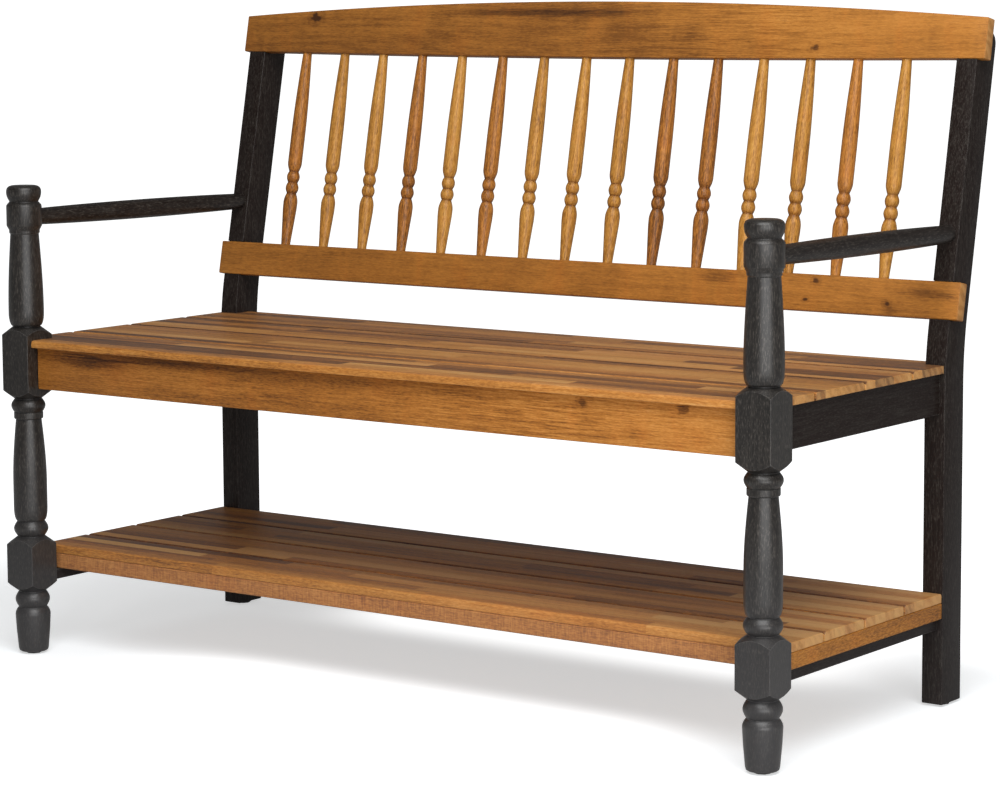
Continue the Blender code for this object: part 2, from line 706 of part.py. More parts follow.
def make_seat_frame():
    half = LEG_X - LEG / 2 - FIT
    front = tenon_bar_x(half, APRON, FRONT_APRON_HEIGHT, TENON_LONG, FRONT_TENON_HEIGHT, 0.0)
    place("front_apron", front, seat_wood, (0, FRONT_APRON_Y, FRONT_APRON_Z))
    half = POST_INNER - FIT
    back = tenon_bar_x(half, APRON, FRONT_APRON_HEIGHT, TENON_LONG / 2, BACK_TENON_HEIGHT, BACK_TENON_DROP)
    place("back_apron", back, black_paint, (0, BACK_APRON_Y, FRONT_APRON_Z))
    for label, side in SIDES:
        bar = tenon_bar_y(LEG_BACK + FIT, POST_Y - FIT, APRON, SIDE_APRON_HEIGHT,
                          (TENON_SHORT, TENON_LONG), SIDE_TENON_HEIGHT, SIDE_TENON_RISE)
        place("side_apron_" + label, bar, black_paint, (side * SIDE_BAR_X, 0, SIDE_APRON_Z))


def make_bearers():
    """Cross bearers under the slats, butted between the front and back aprons."""
    front = FRONT_APRON_Y + APRON / 2 + FIT
    back = BACK_APRON_Y - APRON / 2 - FIT
    for i in range(BEARER_COUNT):
        x = 2 * POST_INNER * ((i + 1) / (BEARER_COUNT + 1) - 0.5)
        bar = plain_bar_y(front, back, BEARER, BEARER)
        place(f"seat_bearer_{i + 1}", bar, hidden_wood, (x, 0, SEAT_UNDER - FIT - BEARER / 2))


def make_braces():
    """Diagonal blocks glued across the four inside corners of the seat frame."""
    inner = SIDE_BAR_X - APRON / 2 - FIT
    corners = (("front", FRONT_APRON_Y + APRON / 2 + FIT, 1), ("back", BACK_APRON_Y - APRON / 2 - FIT, -1))
    for end, face, inward in corners:
        for label, side in SIDES:
            short = BRACE_REACH - BRACE_THICK * math.sqrt(2)
            outline = [(side * (inner - BRACE_REACH), face), (side * (inner - short), face),
                       (side * inner, face + inward * short), (side * inner, face + inward * BRACE_REACH)]
            top = SIDE_APRON_Z + SIDE_APRON_HEIGHT / 2 - EASE
            brace = prism(outline, top - BRACE_HEIGHT, top, lambda x, y, z: (x, y, z))
            place(f"corner_brace_{end}_{label}", brace, hidden_wood)


# Slats

def slat_section(front, back, thick, front_round, back_round):
    """Cross-section (y, z) with rounded upper edges and eased lower ones, counter-clockwise."""
    section = [(front + EASE, 0.0), (back - EASE, 0.0), (back, EASE)]
    for y, radius, turn_from in ((back - back_round, back_round, 0), (front + front_round, front_round, 90)):
        steps = 3
        for i in range(steps + 1):
            angle = math.radians(turn_from + 90 * i / steps)
            section.append((y + radius * math.cos(angle), thick - radius + radius * math.sin(angle)))
    section.append((front, EASE))
    return section


def slat_body(section, half):
    """Slat along X; its ends are eased by a slightly smaller last section."""
    mid_y = sum(y for y, _ in section) / len(section)
    mid_z = sum(z for _, z in section) / len(section)
    shrunk = []
    for y, z in section:
        shrunk.append((y - math.copysign(EASE / 2, y - mid_y), z - math.copysign(EASE / 2, z - mid_z)))
    stations = [(-half, shrunk), (-half + EASE, section), (half - EASE, section), (half, shrunk)]
    return loft([along_x(x, ring) for x, ring in stations])


def make_seat_slats():
    """Equal wide slats: the first is notched round the leg blocks, the last round the posts."""
    for i in range(SEAT_SLAT_COUNT):
        front = SEAT_FRONT + i * (SEAT_SLAT_WIDTH + GAP)
        back = front + SEAT_SLAT_WIDTH
        section = slat_section(front, back, SEAT_SLAT, NOSE_ROUND if i == 0 else SLAT_ROUND, SLAT_ROUND)
        slat = slat_body(section, SLAT_HALF)
        if i == 0:
            slat = notch_corners(slat, LEG_X - LEG / 2 - FIT, FRONT_FACE - LEG, LEG_BACK + FIT)
        if i == SEAT_SLAT_COUNT - 1:
            slat = notch_corners(slat, POST_INNER - FIT, SLATS_BACK, POST_Y + LEG * 2)
        place(f"seat_slat_{i + 1}", slat, seat_wood, (0, 0, SEAT_UNDER))


def notch_corners(slat, inner, front, back):
    """Cuts away both ends of a slat outside the distance given, over a stretch of its width."""
    cutters = []
    for _, side in SIDES:
        low_x, high_x = sorted((side * inner, side * WIDTH))
        cutters.append(block((low_x, front, -LEG), (high_x, back, LEG)))
    return shape(slat, merge(cutters))


def make_shelf_slats():
    """Equal slats from the back forwards; the front one takes what is left."""
    back = SLATS_BACK
    for i in reversed(range(SHELF_SLAT_COUNT)):
        front = SHELF_FRONT if i == 0 else back - SHELF_SLAT_WIDTH
        section = slat_section(front, back, SHELF_SLAT, NOSE_ROUND if i == 0 else SLAT_ROUND, SLAT_ROUND)
        place(f"shelf_slat_{i + 1}", slat_body(section, SLAT_HALF), shelf_wood, (0, 0, SHELF_UNDER))
        back = front - GAP


# Shelf frame

def make_shelf_frame():
    """Side rails between leg and post carry a tray of battens that the slats are screwed to."""
    z = BATTEN_UNDER + BATTEN_HEIGHT / 2
    stub = TENON_SHORT * 0.8
    batten_x = SLAT_HALF - BATTEN / 2
    cross_half = SLAT_HALF - BATTEN - FIT
    stub_height = BATTEN_HEIGHT - TENON_SET_IN
    ends = (("front", SHELF_FRONT + BATTEN / 2), ("back", SLATS_BACK - BATTEN / 2))
    for label, side in SIDES:
        rail = tenon_bar_y(LEG_BACK + FIT, POST_Y - FIT, APRON, SHELF_RAIL_HEIGHT,
                           (TENON_SHORT, TENON_LONG), RAIL_TENON_HEIGHT, 0.0)
        place("shelf_rail_" + label, rail, black_paint, (side * SIDE_BAR_X, 0, RAIL_Z))
        batten = plain_bar_y(SHELF_FRONT, SLATS_BACK, BATTEN, BATTEN_HEIGHT)
        inner = -side * BATTEN / 2
        tip = inner + side * stub
        sockets = []
        for _, y in ends:
            sockets.append(socket((min(inner - side * BATTEN, tip), y - TENON / 2, -stub_height / 2),
                                  (max(inner - side * BATTEN, tip), y + TENON / 2, stub_height / 2)))
        batten = shape(batten, merge(sockets))
        place("shelf_side_batten_" + label, batten, shelf_wood, (side * batten_x, 0, z))
    for end, y in ends:
        bar = tenon_bar_x(cross_half, BATTEN, BATTEN_HEIGHT, stub, stub_height, 0.0)
        place(f"shelf_{end}_batten", bar, shelf_wood, (0, y, z))
    front = ends[0][1] + BATTEN / 2 + FIT
    back = ends[1][1] - BATTEN / 2 - FIT
    for i in range(CROSS_BATTEN_COUNT):
        x = 2 * cross_half * ((i + 1) / (CROSS_BATTEN_COUNT + 1) - 0.5)
        bar = plain_bar_y(front, back, BEARER, BATTEN_HEIGHT)
        place(f"shelf_cross_batten_{i + 1}", bar, hidden_wood, (x, 0, z))


# The bench, put together from the floor up
clear_scene()
for label, side in SIDES:
    make_glide("glide_front_" + label, (side * LEG_X, LEG_Y, 0))
    make_glide("glide_back_" + label, (side * POST_X, POST_Y + POST_DEPTH / 2, 0))
    make_leg("front_leg_" + label, side)
    make_post("back_post_" + label, side)
    make_arm("arm_" + label, side)
    for rail, along in screw_points():
        make_screw(f"{rail}_rail_screw_{label}", side, along)
make_shelf_frame()
make_shelf_slats()
make_seat_frame()
make_bearers()
make_braces()
make_seat_slats()
make_back_rails()
make_spindles()
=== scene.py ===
"""Looks of the outdoor bench: turned and sawn black frame, oiled wood seat, back and low shelf.

Metres, +Z up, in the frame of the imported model. Each section is one piece or group of like pieces.
"""
import math
import random

import bmesh
import bpy
from mathutils import Matrix, Vector


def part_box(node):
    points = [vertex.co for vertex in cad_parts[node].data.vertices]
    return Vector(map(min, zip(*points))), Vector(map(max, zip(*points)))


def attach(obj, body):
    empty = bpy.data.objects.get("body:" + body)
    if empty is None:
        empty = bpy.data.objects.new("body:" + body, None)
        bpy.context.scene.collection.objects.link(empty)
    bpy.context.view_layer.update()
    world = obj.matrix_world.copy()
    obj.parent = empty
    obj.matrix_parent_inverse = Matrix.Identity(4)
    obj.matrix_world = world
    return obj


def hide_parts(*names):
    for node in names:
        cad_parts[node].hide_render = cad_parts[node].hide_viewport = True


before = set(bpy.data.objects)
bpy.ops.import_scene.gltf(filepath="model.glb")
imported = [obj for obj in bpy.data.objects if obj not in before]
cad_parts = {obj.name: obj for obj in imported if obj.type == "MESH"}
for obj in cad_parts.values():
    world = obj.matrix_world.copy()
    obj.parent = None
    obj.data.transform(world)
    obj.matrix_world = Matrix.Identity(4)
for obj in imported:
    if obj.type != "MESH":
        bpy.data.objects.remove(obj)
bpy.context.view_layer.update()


# Front legs. Each is one length of square stock, turned on a lathe except for two blocks that stay square
# for the joints, then mortised for the arm, aprons and shelf rail. Painted black with the grain left open.
leg_belly = 0.0239
leg_neck = 0.0186
leg_cap = 0.0215
leg_drum = 0.044
leg_ring = 0.0215
collar_ring = 0.0182
collar_step = 0.0095
leg_shoulder = 0.0116
block_corner = 0.0010
upper_block_rise = 0.0170
upper_block_drop = 0.0815
lower_block_height = 0.0755
lower_block_past_rail = 0.0115
leg_sides = 64
seat_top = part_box("seat_slat_2")[1].z
lower_block_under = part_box("shelf_rail_left")[0].z - lower_block_past_rail


def shader_node(tree, kind, inputs=None, **settings):
    """Adds one node. An input given as a socket is linked, any other value is set."""
    made = tree.nodes.new(kind)
    for key, value in settings.items():
        setattr(made, key, value)
    for key, value in (inputs or {}).items():
        if isinstance(value, bpy.types.NodeSocket):
            tree.links.new(value, made.inputs[key])
        else:
            made.inputs[key].default_value = value
    return made


def blank_material(name):
    """Material with only a Principled shader, its tree and that shader."""
    material = bpy.data.materials.new(name)
    material.use_nodes = True
    return material, material.node_tree, material.node_tree.nodes["Principled BSDF"]


def stepped(tree, value, low, high, to_low=0.0, to_high=1.0):
    """Value mapped softly from one range to another."""
    ranged = shader_node(tree, "ShaderNodeMapRange", {"Value": value, "From Min": low, "From Max": high,
                         "To Min": to_low, "To Max": to_high}, interpolation_type="SMOOTHSTEP")
    return ranged.outputs["Result"]


def sums(tree, operation, first, second):
    """One arithmetic step between two values."""
    return shader_node(tree, "ShaderNodeMath", {0: first, 1: second}, operation=operation).outputs[0]


def mixed(tree, factor, first, second, blend="MIX"):
    """Colour between two colours."""
    mix = shader_node(tree, "ShaderNodeMix", {"Factor": factor, 6: first, 7: second},
                      data_type="RGBA", blend_type=blend)
    return mix.outputs[2]


def stretched_noise(tree, place, stretch, scale, detail=4.0, distortion=0.0):
    """Noise drawn out along the grain by a stretch of the coordinates."""
    drawn = shader_node(tree, "ShaderNodeVectorMath", {0: place, 1: stretch}, operation="MULTIPLY")
    noise = shader_node(tree, "ShaderNodeTexNoise", {
        "Vector": drawn.outputs[0], "Scale": scale, "Detail": detail, "Roughness": 0.6,
        "Distortion": distortion})
    return noise.outputs["Fac"]


def open_faces(tree, reach, closed=0.60, clear=0.95, samples=6):
    """1 where nothing stands near a face, falling to 0 in grooves and corners."""
    shaded = shader_node(tree, "ShaderNodeAmbientOcclusion", {"Distance": reach},
                         samples=samples, only_local=True)
    return stepped(tree, shaded.outputs["AO"], closed, clear)


def worn_and_highlit_edges(tree, radius):
    """1 along the sharp edges that stand out of the piece, 0 on its faces and in its corners."""
    soft = shader_node(tree, "ShaderNodeBevel", {"Radius": radius}, samples=6)
    true = shader_node(tree, "ShaderNodeNewGeometry")
    alike = shader_node(tree, "ShaderNodeVectorMath", {0: soft.outputs[0], 1: true.outputs["Normal"]},
                        operation="DOT_PRODUCT")
    sharp = stepped(tree, alike.outputs["Value"], 0.99, 0.80)
    return sums(tree, "MULTIPLY", sharp, open_faces(tree, radius * 2))


def black_paint(name, along, warmth=0.0, coat_share=0.95, texture=0.65, floor_reflection=0.55):
    """Thin satin black over open grain.

    Short brush dashes and pits run along the grain, over warm and cool patches. Painted shade darkens
    the grooves, the edges are rubbed grey with a painted highlight, and a painted reflection of the floor
    greys the paint towards the bottom.
    """
    deep_black, soft_black = (0.0074, 0.0062, 0.0054, 1), (0.0142, 0.0112, 0.0090, 1)
    warm_black, brush_grey = (0.0132, 0.0076, 0.0063, 1), (0.032, 0.027, 0.023, 1)
    dash_grey, pit_black = (0.086, 0.076, 0.066, 1), (0.0040, 0.0036, 0.0033, 1)
    groove_shade_black, floor_reflection_grey = (0.006, 0.0053, 0.005, 1), (0.066, 0.065, 0.068, 1)
    rubbed_and_highlight_grey = (0.170, 0.164, 0.156, 1)
    floor_reflection_height = 0.34
    material, tree, shader = blank_material(name)
    place = shader_node(tree, "ShaderNodeTexCoord").outputs["Object"]
    stretch = {"X": (0.06, 1, 1), "Y": (1, 0.06, 1), "Z": (1, 1, 0.06)}[along]
    short = tuple(0.17 if share < 1 else 1 for share in stretch)
    brushed = stretched_noise(tree, place, stretch, 380, 4)
    dashes = stretched_noise(tree, place, short, 900, 3)
    patches = stretched_noise(tree, place, (1, 1, 0.5), 9, 3)
    cool = mixed(tree, patches, deep_black, soft_black)
    black = mixed(tree, warmth, cool, warm_black)
    coat = mixed(tree, stepped(tree, brushed, 0.40, 0.70, 0.0, 0.65), black, brush_grey)
    coat = mixed(tree, stepped(tree, dashes, 0.53, 0.64, 0.0, texture), coat, dash_grey)
    coat = mixed(tree, stepped(tree, dashes, 0.48, 0.36, 0.0, texture), coat, pit_black)
    # Painted shade: grooves and corners are darkened towards a deeper black.
    coat = mixed(tree, open_faces(tree, 0.006), groove_shade_black, coat)
    # Painted reflection of the floor: the paint turns a cool grey towards the bottom.
    height = shader_node(tree, "ShaderNodeSeparateXYZ", {0: place}).outputs["Z"]
    coat = mixed(tree, stepped(tree, height, floor_reflection_height, 0.0, 0.0, floor_reflection), coat, floor_reflection_grey)
    # Wear and painted highlight: the outer edges are rubbed to a pale grey.
    broken = stepped(tree, brushed, 0.36, 0.62, 0.25, 0.85)
    coat = mixed(tree, sums(tree, "MULTIPLY", worn_and_highlit_edges(tree, 0.0016), broken), coat, rubbed_and_highlight_grey)
    tree.links.new(coat, shader.inputs["Base Color"])
    tree.links.new(stepped(tree, brushed, 0.3, 0.7, 0.41, 0.50), shader.inputs["Roughness"])
    grain = sums(tree, "ADD", brushed, sums(tree, "MULTIPLY", dashes, 0.8))
    bump = shader_node(tree, "ShaderNodeBump", {"Height": grain, "Strength": 0.30, "Distance": 0.0005})
    tree.links.new(bump.outputs[0], shader.inputs["Normal"])
    shader.inputs["Specular IOR Level"].default_value = 0.05
    shader.inputs["Coat Weight"].default_value = coat_share
    shader.inputs["Coat Roughness"].default_value = 0.36
    return material


def fit_piece(name, bm, material, slot, *nodes):
    """Finished object from a mesh: it rides on the bench and stands for the solids named."""
    bm.normal_update()
    bmesh.ops.recalc_face_normals(bm, faces=bm.faces)
    mesh = bpy.data.meshes.new(name)
    bm.to_mesh(mesh)
    bm.free()
    mesh.materials.append(material)
    mesh.shade_smooth()
    mesh.set_sharp_from_angle(angle=math.radians(20))
    piece = bpy.data.objects.new(name, mesh)
    bpy.context.collection.objects.link(piece)
    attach(piece, "root")
    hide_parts(*nodes)
    return piece


def turned(profile, sides):
    """Lathe work: the outline (radius, height) is spun once round Z."""
    bm = bmesh.new()
    rim = [bm.verts.new((radius, 0.0, height)) for radius, height in profile]
    edges = [bm.edges.new(pair) for pair in zip(rim, rim[1:])]
    bmesh.ops.spin(bm, geom=rim + edges, cent=(0, 0, 0), axis=(0, 0, 1), dvec=(0, 0, 0),
                   angle=math.tau, steps=sides, use_merge=True)
    bmesh.ops.remove_doubles(bm, verts=bm.verts, dist=1e-6)
    return bm


def swell(top, height, neck, belly, foot, at, steps=14):
    """Stretch of outline that grows from neck to belly at a share of its height, then rounds in."""
    outline = []
    for i in range(steps + 1):
        t = i / steps
        if t <= at:
            radius = neck + (belly - neck) * math.sin(math.pi / 2 * t / at)
        else:
            radius = foot + (belly - foot) * math.cos(math.pi / 2 * (t - at) / (1 - at))
        outline.append((radius, top - height * t))
    return outline


def vase(top, height, neck, belly, foot, full, hold, steps=20):
    """Stretch of outline that swells to its full belly at one share of its height and holds it to another."""
    outline = []
    for i in range(steps + 1):
        radius = neck + (belly - neck) * math.sin(math.pi / 2 * i / steps)
        outline.append((radius, top - height * full * i / steps))
    for i in range(9):
        angle = math.pi / 2 * i / 8
        radius = foot + (belly - foot) * math.cos(angle)
        outline.append((radius, top - height * (hold + (1 - hold) * math.sin(angle))))
    return outline


def square_block(top, under):
    """Stretch left square between two necks: it runs out past the corners and is planed off later."""
    past_corner = leg_half * 1.5
    fall = leg_shoulder * (past_corner - leg_neck) / (leg_half * math.sqrt(2) - leg_neck)
    return [(leg_neck, top), (past_corner, top - fall), (past_corner, under + fall), (leg_neck, under)]


def leg_outline(top, under):
    """Cap, arm drum and vase; upper block; ring, step, vase and ring; lower block; ring and foot."""
    groove = 0.0006
    ring_belly = leg_belly * 0.98
    cap_shape = ((0.0, 0.0), (0.70, 0.0), (0.83, 0.05), (0.92, 0.13), (0.975, 0.25), (0.99, 0.40),
                 (0.98, 0.56), (0.945, 0.72), (0.885, 0.87), (0.82, 1.0))
    cap = [(leg_belly * wide, top - leg_cap * down) for wide, down in cap_shape]
    drum_top = top - leg_cap
    drum = swell(drum_top - groove, leg_drum * 0.16, leg_belly * 0.82, leg_belly, leg_belly, 0.9, 8)
    drum_shape = ((1.0, 0.74), (0.99, 0.755), (0.875, 0.87), (0.865, 0.89), (0.86, 0.965), (0.83, 0.985))
    drum += [(leg_belly * wide, drum_top - leg_drum * down) for wide, down in drum_shape]
    vase_top = drum_top - leg_drum
    block_top = seat_top + upper_block_rise
    long_vase = vase(vase_top, vase_top - block_top - groove, leg_neck + groove, leg_belly, leg_neck,
                     0.84, 0.86)
    block_under = seat_top - upper_block_drop
    blocks = square_block(block_top, block_under)
    ring = swell(block_under - groove, collar_ring, leg_neck, leg_belly * 0.97, leg_neck + groove, 0.5)
    collar_top = block_under - groove - collar_ring
    step_under = collar_top - collar_step
    step = [(leg_neck + 2 * groove, collar_top - groove), (leg_neck + 2 * groove, step_under + 3 * groove),
            (leg_neck + groove, step_under + groove)]
    lower_block_top = lower_block_under + lower_block_height
    low_vase_foot = lower_block_top + leg_ring
    low_vase = vase(step_under, step_under - low_vase_foot, leg_neck - 2 * groove, leg_belly * 0.96, leg_neck,
                    0.62, 0.87)
    low_ring = swell(low_vase_foot - groove, leg_ring - 2 * groove, leg_neck, ring_belly, leg_neck, 0.5)
    low_block = square_block(lower_block_top, lower_block_under)
    foot_ring_top = lower_block_under - groove
    foot_ring = swell(foot_ring_top, leg_ring, leg_neck, ring_belly, leg_neck + groove, 0.5)
    foot_top = foot_ring_top - leg_ring - groove
    foot_length = foot_top - under
    foot = [(leg_neck + groove, foot_top)]
    foot += swell(foot_top - foot_length * 0.03, foot_length * 0.14, leg_belly * 0.88, leg_belly, leg_belly,
                  0.9, 6)
    foot_shape = ((0.955, 0.50), (0.855, 0.93), (0.82, 0.98), (0.74, 1.0), (0.0, 1.0))
    foot += [(leg_belly * wide, foot_top - foot_length * down) for wide, down in foot_shape]
    return cap + drum + long_vase + blocks + ring + step + low_vase + low_ring + low_block + foot_ring + foot


def plane_square(bm, half, corner):
    """Planes the four faces and rounds the four corners of what stands outside the square stock."""
    quarter = 4
    for i in range(4 * quarter):
        angle = math.pi / 2 * i / quarter
        within = angle % (math.pi / 2)
        reach = (half - corner) * (math.cos(within) + math.sin(within)) + corner if within > 1e-6 else half
        normal = Vector((math.cos(angle), math.sin(angle), 0))
        cut = bmesh.ops.bisect_plane(bm, geom=bm.verts[:] + bm.edges[:] + bm.faces[:], dist=1e-7,
                                     plane_co=normal * reach, plane_no=normal, clear_outer=True)
        rim = [item for item in cut["geom_cut"] if isinstance(item, bmesh.types.BMEdge)]
        bmesh.ops.holes_fill(bm, edges=rim, sides=0)
    return bm


paint_upright = black_paint("black_paint_upright", "Z")
for label in ("left", "right"):
    low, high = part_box("front_leg_" + label)
    leg_half = (high.x - low.x) / 2
    leg = plane_square(turned(leg_outline(high.z, low.z), leg_sides), leg_half, block_corner)
    leg.transform(Matrix.Translation(((low.x + high.x) / 2, (low.y + high.y) / 2, 0)))
    fit_piece("turned_leg_" + label, leg, paint_upright, "black_paint", "front_leg_" + label)


# Back posts. Each is sawn from one plank, upright to the seat and raked above it with a smooth bend. The
# edges are eased, the front is housed for both back rails and the top rounded at the back. Painted black.
post_depth = 0.049
post_upper_depth = 0.046
post_over_crest = 0.040
post_top_round = 0.016
post_edge = 0.0012
apron_tenon = 0.020
bend_over_seat = 0.007
bend_reach = 0.045
rake = math.radians(11.4)
lower_rail_lift = 0.0505
lower_rail_height = 0.0475
spindle_length = 0.2815
rail_thick = 0.018
rail_proud = 0.0008
fit = 0.0003
crest_under = lower_rail_lift + lower_rail_height + spindle_length
post_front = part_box("side_apron_left")[1].y - apron_tenon + fit
bend = Vector((0, post_front, seat_top + bend_over_seat))
lean = Matrix.Translation(bend) @ Matrix.Rotation(-rake, 4, "X")


def leaned(through, along):
    """Point (y, z) at a depth through the raked part of the back and a length along it."""
    point = lean @ Vector((0, through, along))
    return point.y, point.z


def bend_curve(y, corner, steps=10):
    """Smooth bend of one edge of the post, from upright to the rake, about the corner of its two lines."""
    radius = bend_reach / math.tan(rake / 2)
    angles = [rake * i / steps for i in range(steps + 1)]
    return [(y + radius * (1 - math.cos(a)), corner - bend_reach + radius * math.sin(a)) for a in angles]


def post_outline(under):
    """Side view of the post: up its front past both housings, round its top and down its back."""
    housing = rail_thick - rail_proud + fit
    top = crest_under + post_over_crest
    outline = [(post_front, under)] + bend_curve(post_front, bend.z)
    for through, along in ((0, lower_rail_lift - fit), (housing, lower_rail_lift - fit),
                           (housing, lower_rail_lift + lower_rail_height + fit),
                           (0, lower_rail_lift + lower_rail_height + fit), (0, crest_under - fit),
                           (housing, crest_under - fit), (housing, top)):
        outline.append(leaned(through, along))
    for i in range(9):
        angle = math.pi / 2 * (1 - i / 8)
        outline.append(leaned(post_upper_depth - post_top_round * (1 - math.cos(angle)),
                              top - post_top_round * (1 - math.sin(angle))))
    back_corner = bend.z + (post_depth - post_upper_depth / math.cos(rake)) / math.tan(rake)
    outline += reversed(bend_curve(post_front + post_depth, back_corner))
    return outline + [(post_front + post_depth, under)]


def sharp_edge(edge):
    """Says whether the faces beside an edge meet at a corner."""
    return edge.calc_face_angle() > math.radians(60)


def round_edges(bm, radius, segments, pick):
    """Rounds the edges for which pick says yes."""
    bmesh.ops.recalc_face_normals(bm, faces=bm.faces)
    bm.normal_update()
    edges = [edge for edge in bm.edges if pick(edge)]
    bmesh.ops.bevel(bm, geom=edges, offset=radius, offset_type="OFFSET", segments=segments, profile=0.5,
                    affect="EDGES", clamp_overlap=True, material=-1)
    return bm


paint_post = black_paint("black_paint_post", "Z", warmth=0.9, coat_share=0.22, texture=0.35, floor_reflection=0.15)
for label in ("left", "right"):
    low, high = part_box("back_post_" + label)
    post = bmesh.new()
    side_face = post.faces.new([post.verts.new((low.x, y, z)) for y, z in post_outline(low.z)])
    pushed = bmesh.ops.extrude_face_region(post, geom=[side_face])["geom"]
    far_side = [item for item in pushed if isinstance(item, bmesh.types.BMVert)]
    bmesh.ops.translate(post, vec=(high.x - low.x, 0, 0), verts=far_side)
    round_edges(post, post_edge, 3, sharp_edge)
    fit_piece("sawn_post_" + label, post, paint_post, "black_paint", "back_post_" + label)


# Arms. Round rods, a little thicker at mid length, glued into the drum of the leg and the front of the post.
# They fall slightly to the back and are painted black.
arm_height = 0.599
arm_fall = 0.0035
arm_end = 0.0110
arm_thick = 0.0134
arm_tenon = 0.016
arm_steps = 24
arm_fullness = 0.7
arm_sides = 40
paint_to_back = black_paint("black_paint_to_back", "Y", warmth=0.5, coat_share=0.5)
for label in ("left", "right"):
    leg_low, leg_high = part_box("front_leg_" + label)
    post_low, post_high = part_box("back_post_" + label)
    start = Vector(((leg_low.x + leg_high.x) / 2, (leg_low.y + leg_high.y) / 2, arm_height))
    at_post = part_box("arm_" + label)[1].y - arm_tenon
    end = Vector(((post_low.x + post_high.x) / 2, at_post, arm_height - arm_fall))
    length = (end - start).length
    rod = [(0, leg_belly - arm_tenon), (arm_end, leg_belly - arm_tenon)]
    for i in range(arm_steps + 1):
        t = i / arm_steps
        thickness = arm_end + (arm_thick - arm_end) * math.sin(math.pi * t) ** arm_fullness
        rod.append((thickness, leg_belly + (length - leg_belly) * t))
    rod += [(arm_end, length + arm_tenon), (0, length + arm_tenon)]
    arm = turned(rod, arm_sides)
    arm.transform(Matrix.Translation(start) @ (end - start).to_track_quat("Z", "Y").to_matrix().to_4x4())
    fit_piece("round_arm_" + label, arm, paint_to_back, "black_paint", "arm_" + label)


# Seat frame. The side and back aprons and the shelf rails are painted black and tenoned into legs and posts.
# The front apron is oiled wood, planed with eased edges, its tenons hidden in the leg blocks.
apron_edge = 0.0015
apron_tone = 0.45
hue_turns = 3.71


def dress(material, *names):
    """Puts a finish on solids that are shown as they are."""
    for name in names:
        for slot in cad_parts[name].material_slots:
            slot.material = material


def apart(tree, place, centre, stretch):
    """Distance from a centre, with each axis stretched."""
    gap = shader_node(tree, "ShaderNodeVectorMath", {0: place, 1: centre}, operation="SUBTRACT")
    scaled = shader_node(tree, "ShaderNodeVectorMath", {0: gap.outputs[0], 1: stretch}, operation="MULTIPLY")
    length = shader_node(tree, "ShaderNodeVectorMath", {0: scaled.outputs[0]}, operation="LENGTH")
    return length.outputs["Value"]


